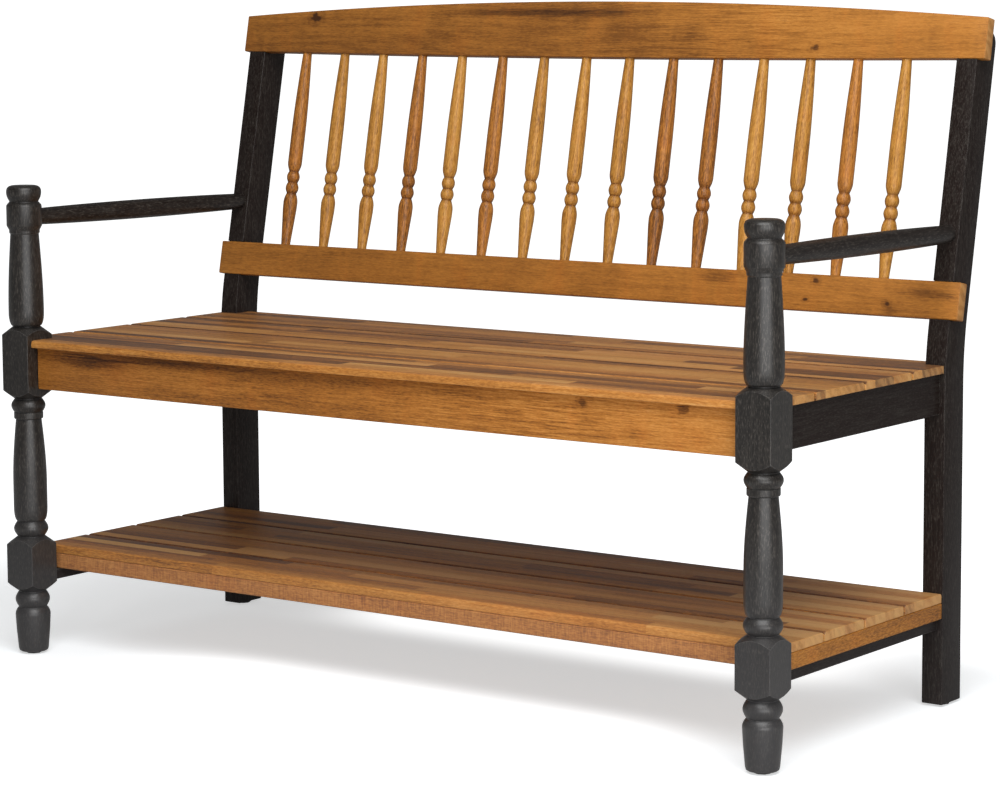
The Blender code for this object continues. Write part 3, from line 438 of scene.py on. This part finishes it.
def oiled_wood(name, along, tone=None, tilt=0.0, knots=(), marks=(), dull=0.0, chatter=0.0, sheen=0.28,
               flecked=0.12, streaked=0.035, banded=0.02, band_width=0.006, weathered_and_sheen=0.0, faded=0.0,
               coat_share=0.0, golden=0.0, pored=0.10, painted_groove_shade=0.0):
    """Oiled hardwood: broad figure, bands, streaks and pores, knots, dark marks, rings on the sawn ends.

    Tone, from dark to pale, and the place of the figure come from each stave's own attributes unless a tone
    is given. Tilt turns the grain with a raked piece.
    """
    ripple_red, stave_red = (1.0, 0.80, 0.66, 1), (0.96, 0.84, 0.80, 1)
    gold, pore_brown = (1.0, 1.27, 1.2, 1), (0.52, 0.42, 0.36, 1)
    faded_pink, weather_and_sheen_grey = (0.46, 0.225, 0.175, 1), (0.36, 0.235, 0.165, 1)
    groove_shade_brown, rubbed_and_highlight_tan = (0.30, 0.20, 0.15, 1), (0.66, 0.36, 0.12, 1)
    end_pale, end_dark = (0.62, 0.34, 0.125, 1), (0.10, 0.045, 0.018, 1)
    material, tree, shader = blank_material(name)
    place = shader_node(tree, "ShaderNodeTexCoord").outputs["Object"]
    laid = shader_node(tree, "ShaderNodeMapping", {"Vector": place, "Rotation": (tilt, 0, 0)}).outputs[0]
    seed = 0.37
    if tone is None:
        tone = shader_node(tree, "ShaderNodeAttribute", attribute_name="tone").outputs["Fac"]
        seed = shader_node(tree, "ShaderNodeAttribute", attribute_name="seed").outputs["Fac"]
    shift = shader_node(tree, "ShaderNodeVectorMath", {0: (5.1, 3.3, 2.7), "Scale": seed}, operation="SCALE")
    moved = shader_node(tree, "ShaderNodeVectorMath", {0: laid, 1: shift.outputs[0]},
                        operation="ADD").outputs[0]
    lengthwise = "XYZ".index(along)

    def drawn(share, across=1.0):
        return tuple(share if axis == lengthwise else across for axis in range(3))

    figure = stretched_noise(tree, moved, drawn(0.16), 20, 2, 0.8)
    bands = stretched_noise(tree, moved, drawn(0.03), 1 / band_width, 3, 0.3)
    streak = stretched_noise(tree, moved, drawn(0.04), 560, 3)
    fibres = stretched_noise(tree, moved, drawn(0.09), 950, 2)
    flecks = stretched_noise(tree, moved, drawn(0.24), 640, 3)
    ripple = stretched_noise(tree, moved, drawn(1.0, 0.35), 24, 2, 0.6)
    lumps = stretched_noise(tree, moved, drawn(0.7), 150, 1)
    sweep = stretched_noise(tree, moved, drawn(0.09), 12, 1, 0.6)
    growth = sums(tree, "SINE", sums(tree, "MULTIPLY", sweep, 190.0), 0.0)
    value = sums(tree, "ADD", tone, stepped(tree, figure, 0.25, 0.75, -0.06, 0.06))
    value = sums(tree, "ADD", value, stepped(tree, growth, -1.0, 0.8, -0.022, 0.012))
    patterns = ((bands, banded), (ripple, 0.026), (streak, streaked), (fibres, pored), (flecks, flecked))
    for pattern, depth in patterns:
        value = sums(tree, "ADD", value, stepped(tree, pattern, 0.32, 0.68, -depth, depth))
    # A mark with a negative depth paints a pale patch of light.
    for centre, half_length, half_height, depth in marks:
        away = apart(tree, laid, centre, (1 / half_length, 0, 1 / half_height))
        ragged = sums(tree, "ADD", away, stepped(tree, streak, 0.3, 0.7, 0.4, -0.4))
        value = sums(tree, "SUBTRACT", value, stepped(tree, ragged, 1.25, 0.2, 0.0, depth))
    for centre, radius in knots:
        away = apart(tree, laid, centre, drawn(0.75))
        ragged = sums(tree, "ADD", away, stepped(tree, lumps, 0.3, 0.7, radius * 0.4, radius * -0.4))
        rings = sums(tree, "SINE", sums(tree, "MULTIPLY", ragged, 5.0 / radius), 0.0)
        halo = stepped(tree, ragged, radius * 3.2, radius * 0.8)
        value = sums(tree, "ADD", value, sums(tree, "MULTIPLY", sums(tree, "MULTIPLY", rings, 0.04), halo))
        value = sums(tree, "SUBTRACT", value, sums(tree, "MULTIPLY", halo, 0.12))
        value = sums(tree, "SUBTRACT", value, stepped(tree, ragged, radius * 1.3, radius * 0.4, 0.0, 0.32))
    if chatter:
        ticks = stretched_noise(tree, laid, drawn(1.0, 0.12), 420, 2)
        value = sums(tree, "ADD", value, stepped(tree, ticks, 0.3, 0.7, -chatter, chatter))
    ramp = shader_node(tree, "ShaderNodeValToRGB", {"Fac": value})
    tones = ((0.0, (0.060, 0.022, 0.007)), (0.25, (0.205, 0.076, 0.014)), (0.5, (0.450, 0.180, 0.031)),
             (0.75, (0.610, 0.280, 0.062)), (1.0, (0.710, 0.400, 0.130)))
    while len(ramp.color_ramp.elements) < len(tones):
        ramp.color_ramp.elements.new(0.5)
    for element, (position, colour) in zip(ramp.color_ramp.elements, tones):
        element.position = position
        element.color = (*colour, 1)
    hue = sums(tree, "FRACT", sums(tree, "MULTIPLY", seed, hue_turns), 0.0)
    colour = ramp.outputs["Color"]
    for share, tint in ((stepped(tree, ripple, 0.5, 0.75, 0.0, 0.35), ripple_red),
                        (stepped(tree, hue, 0.2, 0.9, 0.0, 0.6), stave_red),
                        (stepped(tree, hue, 0.6, 0.3, 0.0, golden), gold),
                        (stepped(tree, fibres, 0.57, 0.66, 0.0, 0.50), pore_brown)):
        colour = mixed(tree, share, colour, tint, "MULTIPLY")
    colour = mixed(tree, faded, colour, faded_pink)
    # Painted shade: the grooves between beads and other hollows are darkened.
    if painted_groove_shade:
        shaded_grooves = sums(tree, "SUBTRACT", 1.0, open_faces(tree, 0.008, 0.86, 0.99, samples=8))
        colour = mixed(tree, sums(tree, "MULTIPLY", shaded_grooves, painted_groove_shade), colour, groove_shade_brown, "MULTIPLY")
    normal = shader_node(tree, "ShaderNodeSeparateXYZ",
                         {0: shader_node(tree, "ShaderNodeNewGeometry").outputs["Normal"]})
    # Weathering and painted sheen: upward faces turn greyer.
    on_top = stepped(tree, normal.outputs["Z"], 0.6, 0.95, 0.0, weathered_and_sheen)
    colour = mixed(tree, on_top, colour, weather_and_sheen_grey)
    sawn_end = stepped(tree, sums(tree, "ABSOLUTE", normal.outputs[lengthwise], 0.0), 0.80, 0.95)
    rings = shader_node(tree, "ShaderNodeTexWave", {
        "Vector": moved, "Scale": 34, "Distortion": 7.0, "Detail": 2.0, "Detail Scale": 0.8},
        bands_direction="DIAGONAL").outputs["Fac"]
    pale_ring = mixed(tree, 0.55, colour, end_pale)
    dark_ring = mixed(tree, 0.20, colour, end_dark)
    end_colour = mixed(tree, stepped(tree, rings, 0.1, 0.9, 0.45, 1.0), dark_ring, pale_ring)
    colour = mixed(tree, sawn_end, colour, end_colour)
    # Wear and painted highlight: the outer edges turn a pale tan.
    rubbed_and_highlight = sums(tree, "MULTIPLY", worn_and_highlit_edges(tree, 0.0012), 0.22)
    colour = mixed(tree, rubbed_and_highlight, colour, rubbed_and_highlight_tan)
    tree.links.new(colour, shader.inputs["Base Color"])
    tree.links.new(stepped(tree, streak, 0.25, 0.75, 0.40 + dull, 0.55 + dull), shader.inputs["Roughness"])
    pores = stepped(tree, fibres, 0.58, 0.68, 0.0, -0.8)
    height = sums(tree, "ADD", sums(tree, "MULTIPLY", streak, 0.6), pores)
    bump = shader_node(tree, "ShaderNodeBump", {"Height": height, "Strength": 0.22, "Distance": 0.0004})
    tree.links.new(bump.outputs[0], shader.inputs["Normal"])
    shader.inputs["Specular IOR Level"].default_value = sheen
    shader.inputs["Coat Weight"].default_value = coat_share
    shader.inputs["Coat Roughness"].default_value = 0.32
    return material


def board(outline, under, top):
    """Flat board: its outline (x, y) at the underside, pushed up to its top."""
    bm = bmesh.new()
    face = bm.faces.new([bm.verts.new((x, y, under)) for x, y in outline])
    raised = bmesh.ops.extrude_face_region(bm, geom=[face])
    lifted = [item for item in raised["geom"] if isinstance(item, bmesh.types.BMVert)]
    bmesh.ops.translate(bm, vec=(0, 0, top - under), verts=lifted)
    bmesh.ops.recalc_face_normals(bm, faces=bm.faces)
    return bm


def box_outline(low, high):
    """Outline (x, y) of a board without notches."""
    return [(low.x, low.y), (high.x, low.y), (high.x, high.y), (low.x, high.y)]


def grade(bm, tone, seed):
    """Gives the whole piece one tone of wood and its own place in the figure."""
    tones = bm.faces.layers.float.new("tone")
    seeds = bm.faces.layers.float.new("seed")
    for face in bm.faces:
        face[tones] = tone
        face[seeds] = seed
    return bm


dress(black_paint("black_paint_along", "X"), "back_apron")
paint_frame = black_paint("black_paint_frame", "Y", warmth=1.0, coat_share=0.15, texture=0.22, floor_reflection=0.2)
dress(paint_frame, "side_apron_left", "side_apron_right", "shelf_rail_left", "shelf_rail_right")
low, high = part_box("front_apron")
low.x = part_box("front_leg_left")[1].x + fit
high.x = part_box("front_leg_right")[0].x - fit
apron_knots = [((0.3355, low.y, 0.416), 0.0056), ((0.4795, low.y, 0.418), 0.0060)]
apron_marks = [((-0.46, low.y, high.z - 0.014), 0.080, 0.010, 0.36),
               ((-0.33, low.y, high.z - 0.006), 0.190, 0.007, 0.28),
               ((-0.28, low.y, high.z - 0.034), 0.120, 0.012, -0.08),
               ((0.411, low.y, 0.383), 0.020, 0.009, 0.14),
               ((-0.08, low.y, high.z - 0.012), 0.130, 0.010, 0.12),
               # Painted light: a broad pale patch on the right end, where more light falls.
               ((0.62, low.y, 0.400), 0.450, 0.150, -0.22)]
apron = round_edges(board(box_outline(low, high), low.z, high.z), apron_edge, 3, lambda edge: True)
apron_wood = oiled_wood("apron_wood", "X", knots=apron_knots, marks=apron_marks, flecked=0.07, streaked=0.08)
fit_piece("front_apron_board", grade(apron, apron_tone, 0.21), apron_wood, "seat_wood", "front_apron")


# Seat bearers and corner braces. Sawn lengths of the same wood, hidden under the slats. The bearers are
# screwed between the front and back aprons, the braces glued across the corners.
sawn_wood = oiled_wood("sawn_wood", "X", tone=0.40, dull=0.2)
dress(sawn_wood, "seat_bearer_1", "seat_bearer_2", "seat_bearer_3")
for corner in ("front_left", "front_right", "back_left", "back_right"):
    dress(sawn_wood, "corner_brace_" + corner)


# Seat slats. Four boards, each glued up from narrow staves butted end to end, planed, rounded along the top
# edges, oiled and screwed to the frame from below. The front one is notched round the leg blocks, the back
# one round the posts.
def lay_staves(bm, low, high, count, chance, tone, spread, rise, front_run=None):
    """Cuts the board's faces along the glue lines and gives every stave its own tone and place in the figure.

    Joints and tones of the front row may be given as a run of (joint, tone after it).
    """
    tones = bm.faces.layers.float.new("tone")
    seeds = bm.faces.layers.float.new("seed")
    first_joint, stave_length, shortest_end, past_edge = (0.12, 0.42), (0.24, 0.50), 0.05, 0.001
    width = (high.y - low.y) / count
    for i in range(1, count):
        bmesh.ops.bisect_plane(bm, geom=bm.verts[:] + bm.edges[:] + bm.faces[:], dist=1e-6,
                               plane_co=(0, low.y + width * i, 0), plane_no=(0, 1, 0))
    for i in range(count):
        front = low.y + width * i - (past_edge if i == 0 else 0.0)
        back = low.y + width * (i + 1) + (past_edge if i == count - 1 else 0.0)
        run = [(low.x - 1, tone + spread * chance.choice(stave_steps))]
        x = low.x + chance.uniform(*first_joint)
        while x < high.x - shortest_end:
            run.append((x, tone + spread * chance.choice(stave_steps)))
            x += chance.uniform(*stave_length)
        if front_run and i == 0:
            run = front_run
        for x, shade in run[1:]:
            faces = [face for face in bm.faces if front < face.calc_center_median().y < back]
            around = {item for face in faces for item in (*face.verts, *face.edges)}
            bmesh.ops.bisect_plane(bm, geom=[*faces, *around], dist=1e-6,
                                   plane_co=(x, 0, 0), plane_no=(1, 0, 0))
        ends = [x for x, shade in run[1:]] + [high.x + 1]
        for (start, shade), end in zip(run, ends):
            own = chance.uniform(0, 10)
            # Painted light: each stave grows paler towards the right end, where more light falls.
            shade += rise * (max(start, low.x) + min(end, high.x)) / (high.x - low.x)
            for face in bm.faces:
                centre = face.calc_center_median()
                if front < centre.y < back and start < centre.x < end:
                    face[tones] = shade
                    face[seeds] = own
    return bm


def shade_edges(bm, low, high, front_shade_and_highlight, back_shade):
    """Paints shade on the rounded long edges beside the gaps, and a highlight on some."""
    tones = bm.faces.layers.float["tone"]
    reach = 0.004
    bm.normal_update()
    for face in bm.faces:
        middle = face.calc_center_median()
        rounded = -0.97 < face.normal.y < -0.12 and face.normal.z > 0.1
        if front_shade_and_highlight and rounded and middle.y < low.y + reach:
            face[tones] = front_shade_and_highlight
        if back_shade and 0.30 < face.normal.y and middle.y > high.y - reach:
            face[tones] = back_shade
    return bm


def slat(low, high, leg_notch, post_notch, front_round, top_round):
    """Board with rounded top edges, its front or back corners cut away where legs or posts stand in them."""
    right = [(high.x, low.y), (high.x, high.y)]
    if leg_notch:
        right[:1] = [(leg_notch.x, low.y), (leg_notch.x, leg_notch.y), (high.x, leg_notch.y)]
    if post_notch:
        right[-1:] = [(high.x, post_notch.y), (post_notch.x, post_notch.y), (post_notch.x, high.y)]
    bm = board(right + [(-x, y) for x, y in reversed(right)], low.z, high.z)

    def along_top(edge, y):
        a, b = (vert.co for vert in edge.verts)
        return max(abs(a.z - high.z), abs(b.z - high.z), abs(a.y - y), abs(b.y - y)) < 1e-5

    round_edges(bm, front_round, 5, lambda edge: along_top(edge, low.y))
    round_edges(bm, top_round, 4, lambda edge: along_top(edge, high.y))
    round_edges(bm, slat_arris, 2, sharp_edge)
    return bm


slat_arris = 0.0008
seat_rounds = (0.0045, 0.0040, 0.0040, 0.0040)
seat_back_round = 0.0042
# Painted shade along the gaps between slats, and a painted highlight on the front edge of the second seat
# slat.
gap_shade = 0.12
seat_front_shade_and_highlight = (None, 0.62, 0.12, 0.10)
seat_back_shade = (gap_shade, gap_shade, gap_shade, None)
stave_steps = (-1.0, -0.7, -0.4, -0.1, 0.1, 0.3, 0.5, 0.8, 1.0)
seat_wood = oiled_wood("seat_wood", "X", sheen=0.5, streaked=0.09, banded=0.15, band_width=0.018,
                       weathered_and_sheen=0.14)
leg_notch = Vector((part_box("front_leg_right")[0].x - fit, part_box("front_leg_right")[1].y + fit))
post_notch = Vector((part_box("back_post_right")[0].x - fit, post_front - fit))
chance = random.Random(7)
nosing_run = [(-2.0, 0.60), (-0.125, 0.68), (0.27, 0.64), (0.46, 0.66)]
for i in range(4):
    node = f"seat_slat_{i + 1}"
    low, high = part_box(node)
    bm = slat(low, high, leg_notch if i == 0 else None, post_notch if i == 3 else None,
              seat_rounds[i], seat_back_round)
    lay_staves(bm, low, high, 5, chance, tone=0.475, spread=0.32, rise=0.05,
               front_run=nosing_run if i == 0 else None)
    shade_edges(bm, low, high, seat_front_shade_and_highlight[i], seat_back_shade[i])
    fit_piece(f"seat_board_{i + 1}", bm, seat_wood, "seat_wood", node)


# Shelf. Four stave-built slats on a tray of battens, carried by the black side rails. The front batten is
# flush under the front slat, so that the two look like one thick edge.
shelf_rounds = (0.004, 0.0036, 0.0036, 0.0036)
shelf_back_round = 0.0036
shelf_front_shade = (None, 0.20, 0.20, 0.20)
shelf_back_shade = (gap_shade, gap_shade, gap_shade, None)
shelf_front_run = [(-2.0, 0.51), (-0.29, 0.56), (0.06, 0.52), (0.40, 0.60)]
shelf_wood = oiled_wood("shelf_wood", "X", sheen=0.5, streaked=0.08, banded=0.14, band_width=0.018,
                        weathered_and_sheen=0.08, faded=0.08)
for i in range(4):
    node = f"shelf_slat_{i + 1}"
    low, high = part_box(node)
    bm = slat(low, high, None, None, shelf_rounds[i], shelf_back_round)
    lay_staves(bm, low, high, 4, chance, tone=0.66, spread=0.36, rise=0.11,
               front_run=shelf_front_run if i == 0 else None)
    shade_edges(bm, low, high, shelf_front_shade[i], shelf_back_shade[i])
    fit_piece(f"shelf_board_{i + 1}", bm, shelf_wood, "shelf_wood", node)
low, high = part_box("shelf_front_batten")
batten_knots = [((-0.0387, low.y, 0.136), 0.0036)]
batten_wood = oiled_wood("batten_wood", "X", tone=0.53, knots=batten_knots, streaked=0.06, banded=0.05,
                         chatter=0.12, faded=0.26)
dress(batten_wood, "shelf_front_batten", "shelf_back_batten")
side_batten_wood = oiled_wood("side_batten_wood", "Y", tone=0.45)
dress(side_batten_wood, "shelf_side_batten_left", "shelf_side_batten_right")
dress(sawn_wood, "shelf_cross_batten_1", "shelf_cross_batten_2")


# Back rails. Two boards let into the posts: the lower one straight, the crest arched along its top and a
# little bowed below. Sawn, planed, their edges eased, and bored below or above for the spindles.
crest_end = 0.0525
crest_rise = 0.021
crest_sag = 0.0035
rail_edge = 0.0018
crest_tone = 0.35
lower_rail_tone = 0.42
rail_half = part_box("crest_rail")[1].x
post_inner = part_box("back_post_right")[0].x


def back_rail(lift, height, arch, sag):
    """Rail in the raked frame: a board on edge, its top lifted into an arch, its edges rounded."""
    front, back = -rail_proud, rail_thick - rail_proud
    bm = board([(-rail_half, front), (rail_half, front), (rail_half, back), (-rail_half, back)],
               lift, lift + height)
    long_edges = [edge for edge in bm.edges if abs(edge.verts[0].co.x - edge.verts[1].co.x) > rail_half]
    bmesh.ops.subdivide_edges(bm, edges=long_edges, cuts=47, use_grid_fill=True)
    for vert in bm.verts:
        if vert.co.z > lift + height / 2:
            vert.co.z += arch * (1 - (vert.co.x / rail_half) ** 2)
        else:
            vert.co.z -= sag * max(0.0, 1 - (vert.co.x / post_inner) ** 2)
    round_edges(bm, rail_edge, 3, sharp_edge)
    bm.transform(lean)
    return bm


def on_rail(x, along):
    """Place on the front of a back rail."""
    return lean @ Vector((x, -rail_proud, along))


crest_knots = [(on_rail(-0.478, 0.430), 0.0052), (on_rail(0.362, 0.391), 0.0036)]
# The last crest mark has a negative depth: painted light that makes the right end paler.
crest_marks = [(on_rail(-0.08, 0.437), 0.20, 0.006, 0.24), (on_rail(0.06, 0.416), 0.035, 0.020, 0.10),
               (on_rail(0.17, 0.410), 0.030, 0.022, 0.07), (on_rail(0.52, 0.410), 0.42, 0.15, -0.13)]
crest_wood = oiled_wood("crest_wood", "X", knots=crest_knots, marks=crest_marks, flecked=0.04, pored=0.06)
crest = grade(back_rail(crest_under, crest_end, crest_rise, crest_sag), crest_tone, 0.83)
fit_piece("crest_board", crest, crest_wood, "back_wood", "crest_rail")
lower_knots = [(on_rail(0.401, 0.0892), 0.0028), (on_rail(0.388, 0.0652), 0.0020),
               (on_rail(0.5075, 0.0654), 0.0026)]
lower_marks = [(on_rail(0.565, 0.081), 0.045, 0.007, 0.26), (on_rail(0.253, 0.089), 0.035, 0.010, 0.20),
               (on_rail(0.513, 0.057), 0.012, 0.005, 0.16)]
lower_wood = oiled_wood("lower_rail_wood", "X", knots=lower_knots, marks=lower_marks,
                        flecked=0.04, pored=0.06)
lower = grade(back_rail(lower_rail_lift, lower_rail_height, 0.0, 0.0), lower_rail_tone, 0.55)
fit_piece("lower_rail_board", lower, lower_wood, "back_wood", "lower_back_rail")


# Spindles. Turned from thin squares: a long shaft that swells downwards, two beads and a short vase, with a
# round end glued into each rail. Every one is cut from another piece of wood, so they differ in tone.
spindle_end = 0.0065
spindle_belly = 0.0102
spindle_neck = 0.0069
spindle_tenon = 0.013
spindle_end_gap = 0.0745
spindle_tones = (0.41, 0.54, 0.56, 0.42, 0.60, 0.47, 0.54, 0.54, 0.50, 0.33, 0.36, 0.57, 0.49, 0.46, 0.54)
red_spindles = (1, 4, 6, 10, 11, 14)
red_hue = 0.55
golden_hue = 0.1
spindle_sides = 32
shaft = spindle_length * 0.57
shoulder = spindle_length * 0.05
bead = spindle_length * 0.0565
foot_length = spindle_length - shaft - shoulder - 2 * bead


def spindle_outline():
    """Shaft, two beads and vase, hanging down from the crest rail."""
    growth = spindle_belly - spindle_end
    outline = [(0, spindle_tenon), (spindle_end, spindle_tenon)]
    for i in range(19):
        t = i / 18
        radius = spindle_end + growth * math.sin(math.pi / 2 * min(1, t / 0.75))
        outline.append((radius, -crest_sag - (shaft - crest_sag) * t))
    outline += swell(-shaft, shoulder, spindle_belly, spindle_belly, spindle_neck, 0.05, 8)[1:]
    beads_top = shaft + shoulder
    for top in (beads_top, beads_top + bead):
        outline += swell(-top, bead, spindle_neck, spindle_belly * 0.92, spindle_neck, 0.5, 12)[1:]
    vase_top = beads_top + 2 * bead
    for i in range(1, 9):
        rise = math.sin(math.pi / 2 * i / 8) ** 0.9
        radius = spindle_neck + (spindle_belly - spindle_neck) * rise
        outline.append((radius, -vase_top - foot_length * 0.18 * i / 8))
    outline += [(spindle_belly * 0.985, -vase_top - foot_length * 0.30), (spindle_end, -spindle_length)]
    return outline + [(spindle_end, -spindle_length - spindle_tenon), (0, -spindle_length - spindle_tenon)]


spindle_span = 2 * (post_inner - spindle_end_gap)
spindle_wood = oiled_wood("spindle_wood", "Z", tilt=rake, sheen=0.10, flecked=0.12, streaked=0.10,
                          coat_share=0.42, golden=0.4, painted_groove_shade=0.95)
for i, tone in enumerate(spindle_tones):
    x = spindle_span * (i / (len(spindle_tones) - 1) - 0.5)
    spindle = turned(spindle_outline(), spindle_sides)
    spindle.transform(lean @ Matrix.Translation((x, rail_thick / 2 - rail_proud, crest_under)))
    node = f"spindle_{i + 1:02d}"
    figure_place = (i + (red_hue if i + 1 in red_spindles else golden_hue)) / hue_turns
    fit_piece("turned_" + node, grade(spindle, tone, figure_place), spindle_wood, "back_wood", node)


# Rail screws and glides. Zinc-plated pan-head screws hold the rails from behind. A black plastic glide is
# pressed into the end of each leg and post.
def brushed_steel(name):
    """Zinc-plated steel with a fine cloudy dullness."""
    dull_zinc, bright_zinc = (0.42, 0.42, 0.43, 1), (0.62, 0.62, 0.63, 1)
    material, tree, shader = blank_material(name)
    place = shader_node(tree, "ShaderNodeTexCoord").outputs["Object"]
    marks = stretched_noise(tree, place, (1, 1, 1), 900, 3)
    tree.links.new(mixed(tree, marks, dull_zinc, bright_zinc), shader.inputs["Base Color"])
    tree.links.new(stepped(tree, marks, 0.3, 0.7, 0.28, 0.45), shader.inputs["Roughness"])
    shader.inputs["Metallic"].default_value = 1.0
    return material


def moulded_plastic(name):
    """Black plastic with the fine pits of its mould."""
    pit_black, face_black = (0.016, 0.016, 0.017, 1), (0.034, 0.034, 0.035, 1)
    material, tree, shader = blank_material(name)
    place = shader_node(tree, "ShaderNodeTexCoord").outputs["Object"]
    pits = stretched_noise(tree, place, (1, 1, 1), 1400, 2)
    tree.links.new(mixed(tree, pits, pit_black, face_black), shader.inputs["Base Color"])
    bump = shader_node(tree, "ShaderNodeBump", {"Height": pits, "Strength": 0.2, "Distance": 0.0003})
    tree.links.new(bump.outputs[0], shader.inputs["Normal"])
    shader.inputs["Roughness"].default_value = 0.55
    return material


screw_steel = brushed_steel("screw_steel")
glide_plastic = moulded_plastic("glide_plastic")
for label in ("left", "right"):
    dress(screw_steel, "crest_rail_screw_" + label, "lower_rail_screw_" + label)
    dress(glide_plastic, "glide_front_" + label, "glide_back_" + label)


# Floor, light and camera. A pale studio floor under a soft overhead light, a softbox above the right end and
# a low wide lamp beside the camera, which stands where the photograph was taken from.
floor_half = 900
floor_grey = (0.45, 0.45, 0.45, 1)
floor_pale = (0.765, 0.80, 0.825, 1)
floor_in_gloss = 0.2
painted_shadow_paleness = 0.53
floor_mesh = bpy.data.meshes.new("floor")
floor = bpy.data.objects.new("floor", floor_mesh)
bpy.context.collection.objects.link(floor)
floor_bm = bmesh.new()
bmesh.ops.create_grid(floor_bm, x_segments=1, y_segments=1, size=floor_half)
floor_bm.to_mesh(floor_mesh)
floor_bm.free()
floor_paper, tree, shader = blank_material("floor_paper")
seen = shader_node(tree, "ShaderNodeLightPath")
mirrored = sums(tree, "MAXIMUM", seen.outputs["Is Glossy Ray"], seen.outputs["Is Transmission Ray"])
shown = sums(tree, "MAXIMUM", seen.outputs["Is Camera Ray"], sums(tree, "MULTIPLY", mirrored, floor_in_gloss))
place = shader_node(tree, "ShaderNodeTexCoord").outputs["Object"]
axes = shader_node(tree, "ShaderNodeSeparateXYZ", {0: place}).outputs
# Painted shadow and light: the floor's glow is dimmed near the bench and raised where light reaches under the
# shelf from front and back.
from_middle = sums(tree, "ABSOLUTE", axes["X"], 0.0)
before = stepped(tree, axes["Y"], -0.04, -0.20)
behind = stepped(tree, axes["Y"], 0.06, 0.24)
between_legs = stepped(tree, from_middle, 0.55, 0.25)
painted_light_under = sums(tree, "MULTIPLY", sums(tree, "ADD", before, behind), between_legs)
painted_light_under = sums(tree, "MAXIMUM", painted_light_under, stepped(tree, axes["Y"], 0.28, 0.60))
away = shader_node(tree, "ShaderNodeVectorMath", {0: place}, operation="LENGTH").outputs["Value"]
painted_light_under = sums(tree, "MAXIMUM", painted_light_under, stepped(tree, away, 0.75, 1.7))
painted_floor_light = stepped(tree, painted_light_under, 0.0, 1.0, painted_shadow_paleness, 1.0)
tree.links.new(sums(tree, "MULTIPLY", shown, painted_floor_light), shader.inputs["Emission Strength"])
shader.inputs["Emission Color"].default_value = (1, 1, 1, 1)
paper = mixed(tree, seen.outputs["Is Camera Ray"], floor_grey, floor_pale)
tree.links.new(paper, shader.inputs["Base Color"])
shader.inputs["Roughness"].default_value = 0.9
shader.inputs["Specular IOR Level"].default_value = 0.0
floor_mesh.materials.append(floor_paper)

world = bpy.data.worlds.new("studio")
bpy.context.scene.world = world
world.use_nodes = True
tree = world.node_tree
upwards = shader_node(tree, "ShaderNodeSeparateXYZ",
                      {0: shader_node(tree, "ShaderNodeTexCoord").outputs["Generated"]}).outputs["Z"]
tree.links.new(stepped(tree, upwards, 0.05, 0.5, 0.24, 0.10), tree.nodes["Background"].inputs["Strength"])
tree.nodes["Background"].inputs["Color"].default_value = (1, 1, 1, 1)


def lamp(name, kind, energy, place, target, **settings):
    """Lamp of the kind given, pointed from its place at a target."""
    data = bpy.data.lights.new(name, kind)
    data.energy = energy
    for key, value in settings.items():
        setattr(data, key, value)
    made = bpy.data.objects.new(name, data)
    made.location = place
    made.rotation_euler = (Vector(target) - Vector(place)).to_track_quat("-Z", "Y").to_euler()
    bpy.context.collection.objects.link(made)
    return made


lamp("overhead", "SUN", 0.25, (0.2, -0.5, 4.0), (0, 0, 0), angle=math.radians(80))
lamp("softbox", "AREA", 64, (1.22, -1.41, 2.38), (0.2, 0, 0.45), shape="RECTANGLE", size=2.2, size_y=2.0)
near_camera = lamp("near_camera", "AREA", 50, (2.4, -2.3, 0.62), (0.1, 0, 0.62),
                   shape="RECTANGLE", size=3.2, size_y=1.2)
near_camera.visible_camera = False

camera_place = (2.4721, -3.3356, 0.9086)
camera_yaw = math.radians(36.528)
camera_pitch = math.radians(6.566)
camera_roll = math.radians(-0.354)
camera_data = bpy.data.cameras.new("camera")
camera_data.sensor_width = 36
camera_data.lens = 114.31
camera_data.shift_x = 0.01417
camera_data.shift_y = -0.04253
camera_data.clip_end = 3000
camera = bpy.data.objects.new("camera", camera_data)
camera.matrix_world = (Matrix.Translation(camera_place) @ Matrix.Rotation(camera_yaw, 4, "Z")
                       @ Matrix.Rotation(math.pi / 2 - camera_pitch, 4, "X")
                       @ Matrix.Rotation(camera_roll, 4, "Z"))
bpy.context.collection.objects.link(camera)
bpy.context.scene.camera = camera
bpy.context.scene.view_settings.view_transform = "Standard"
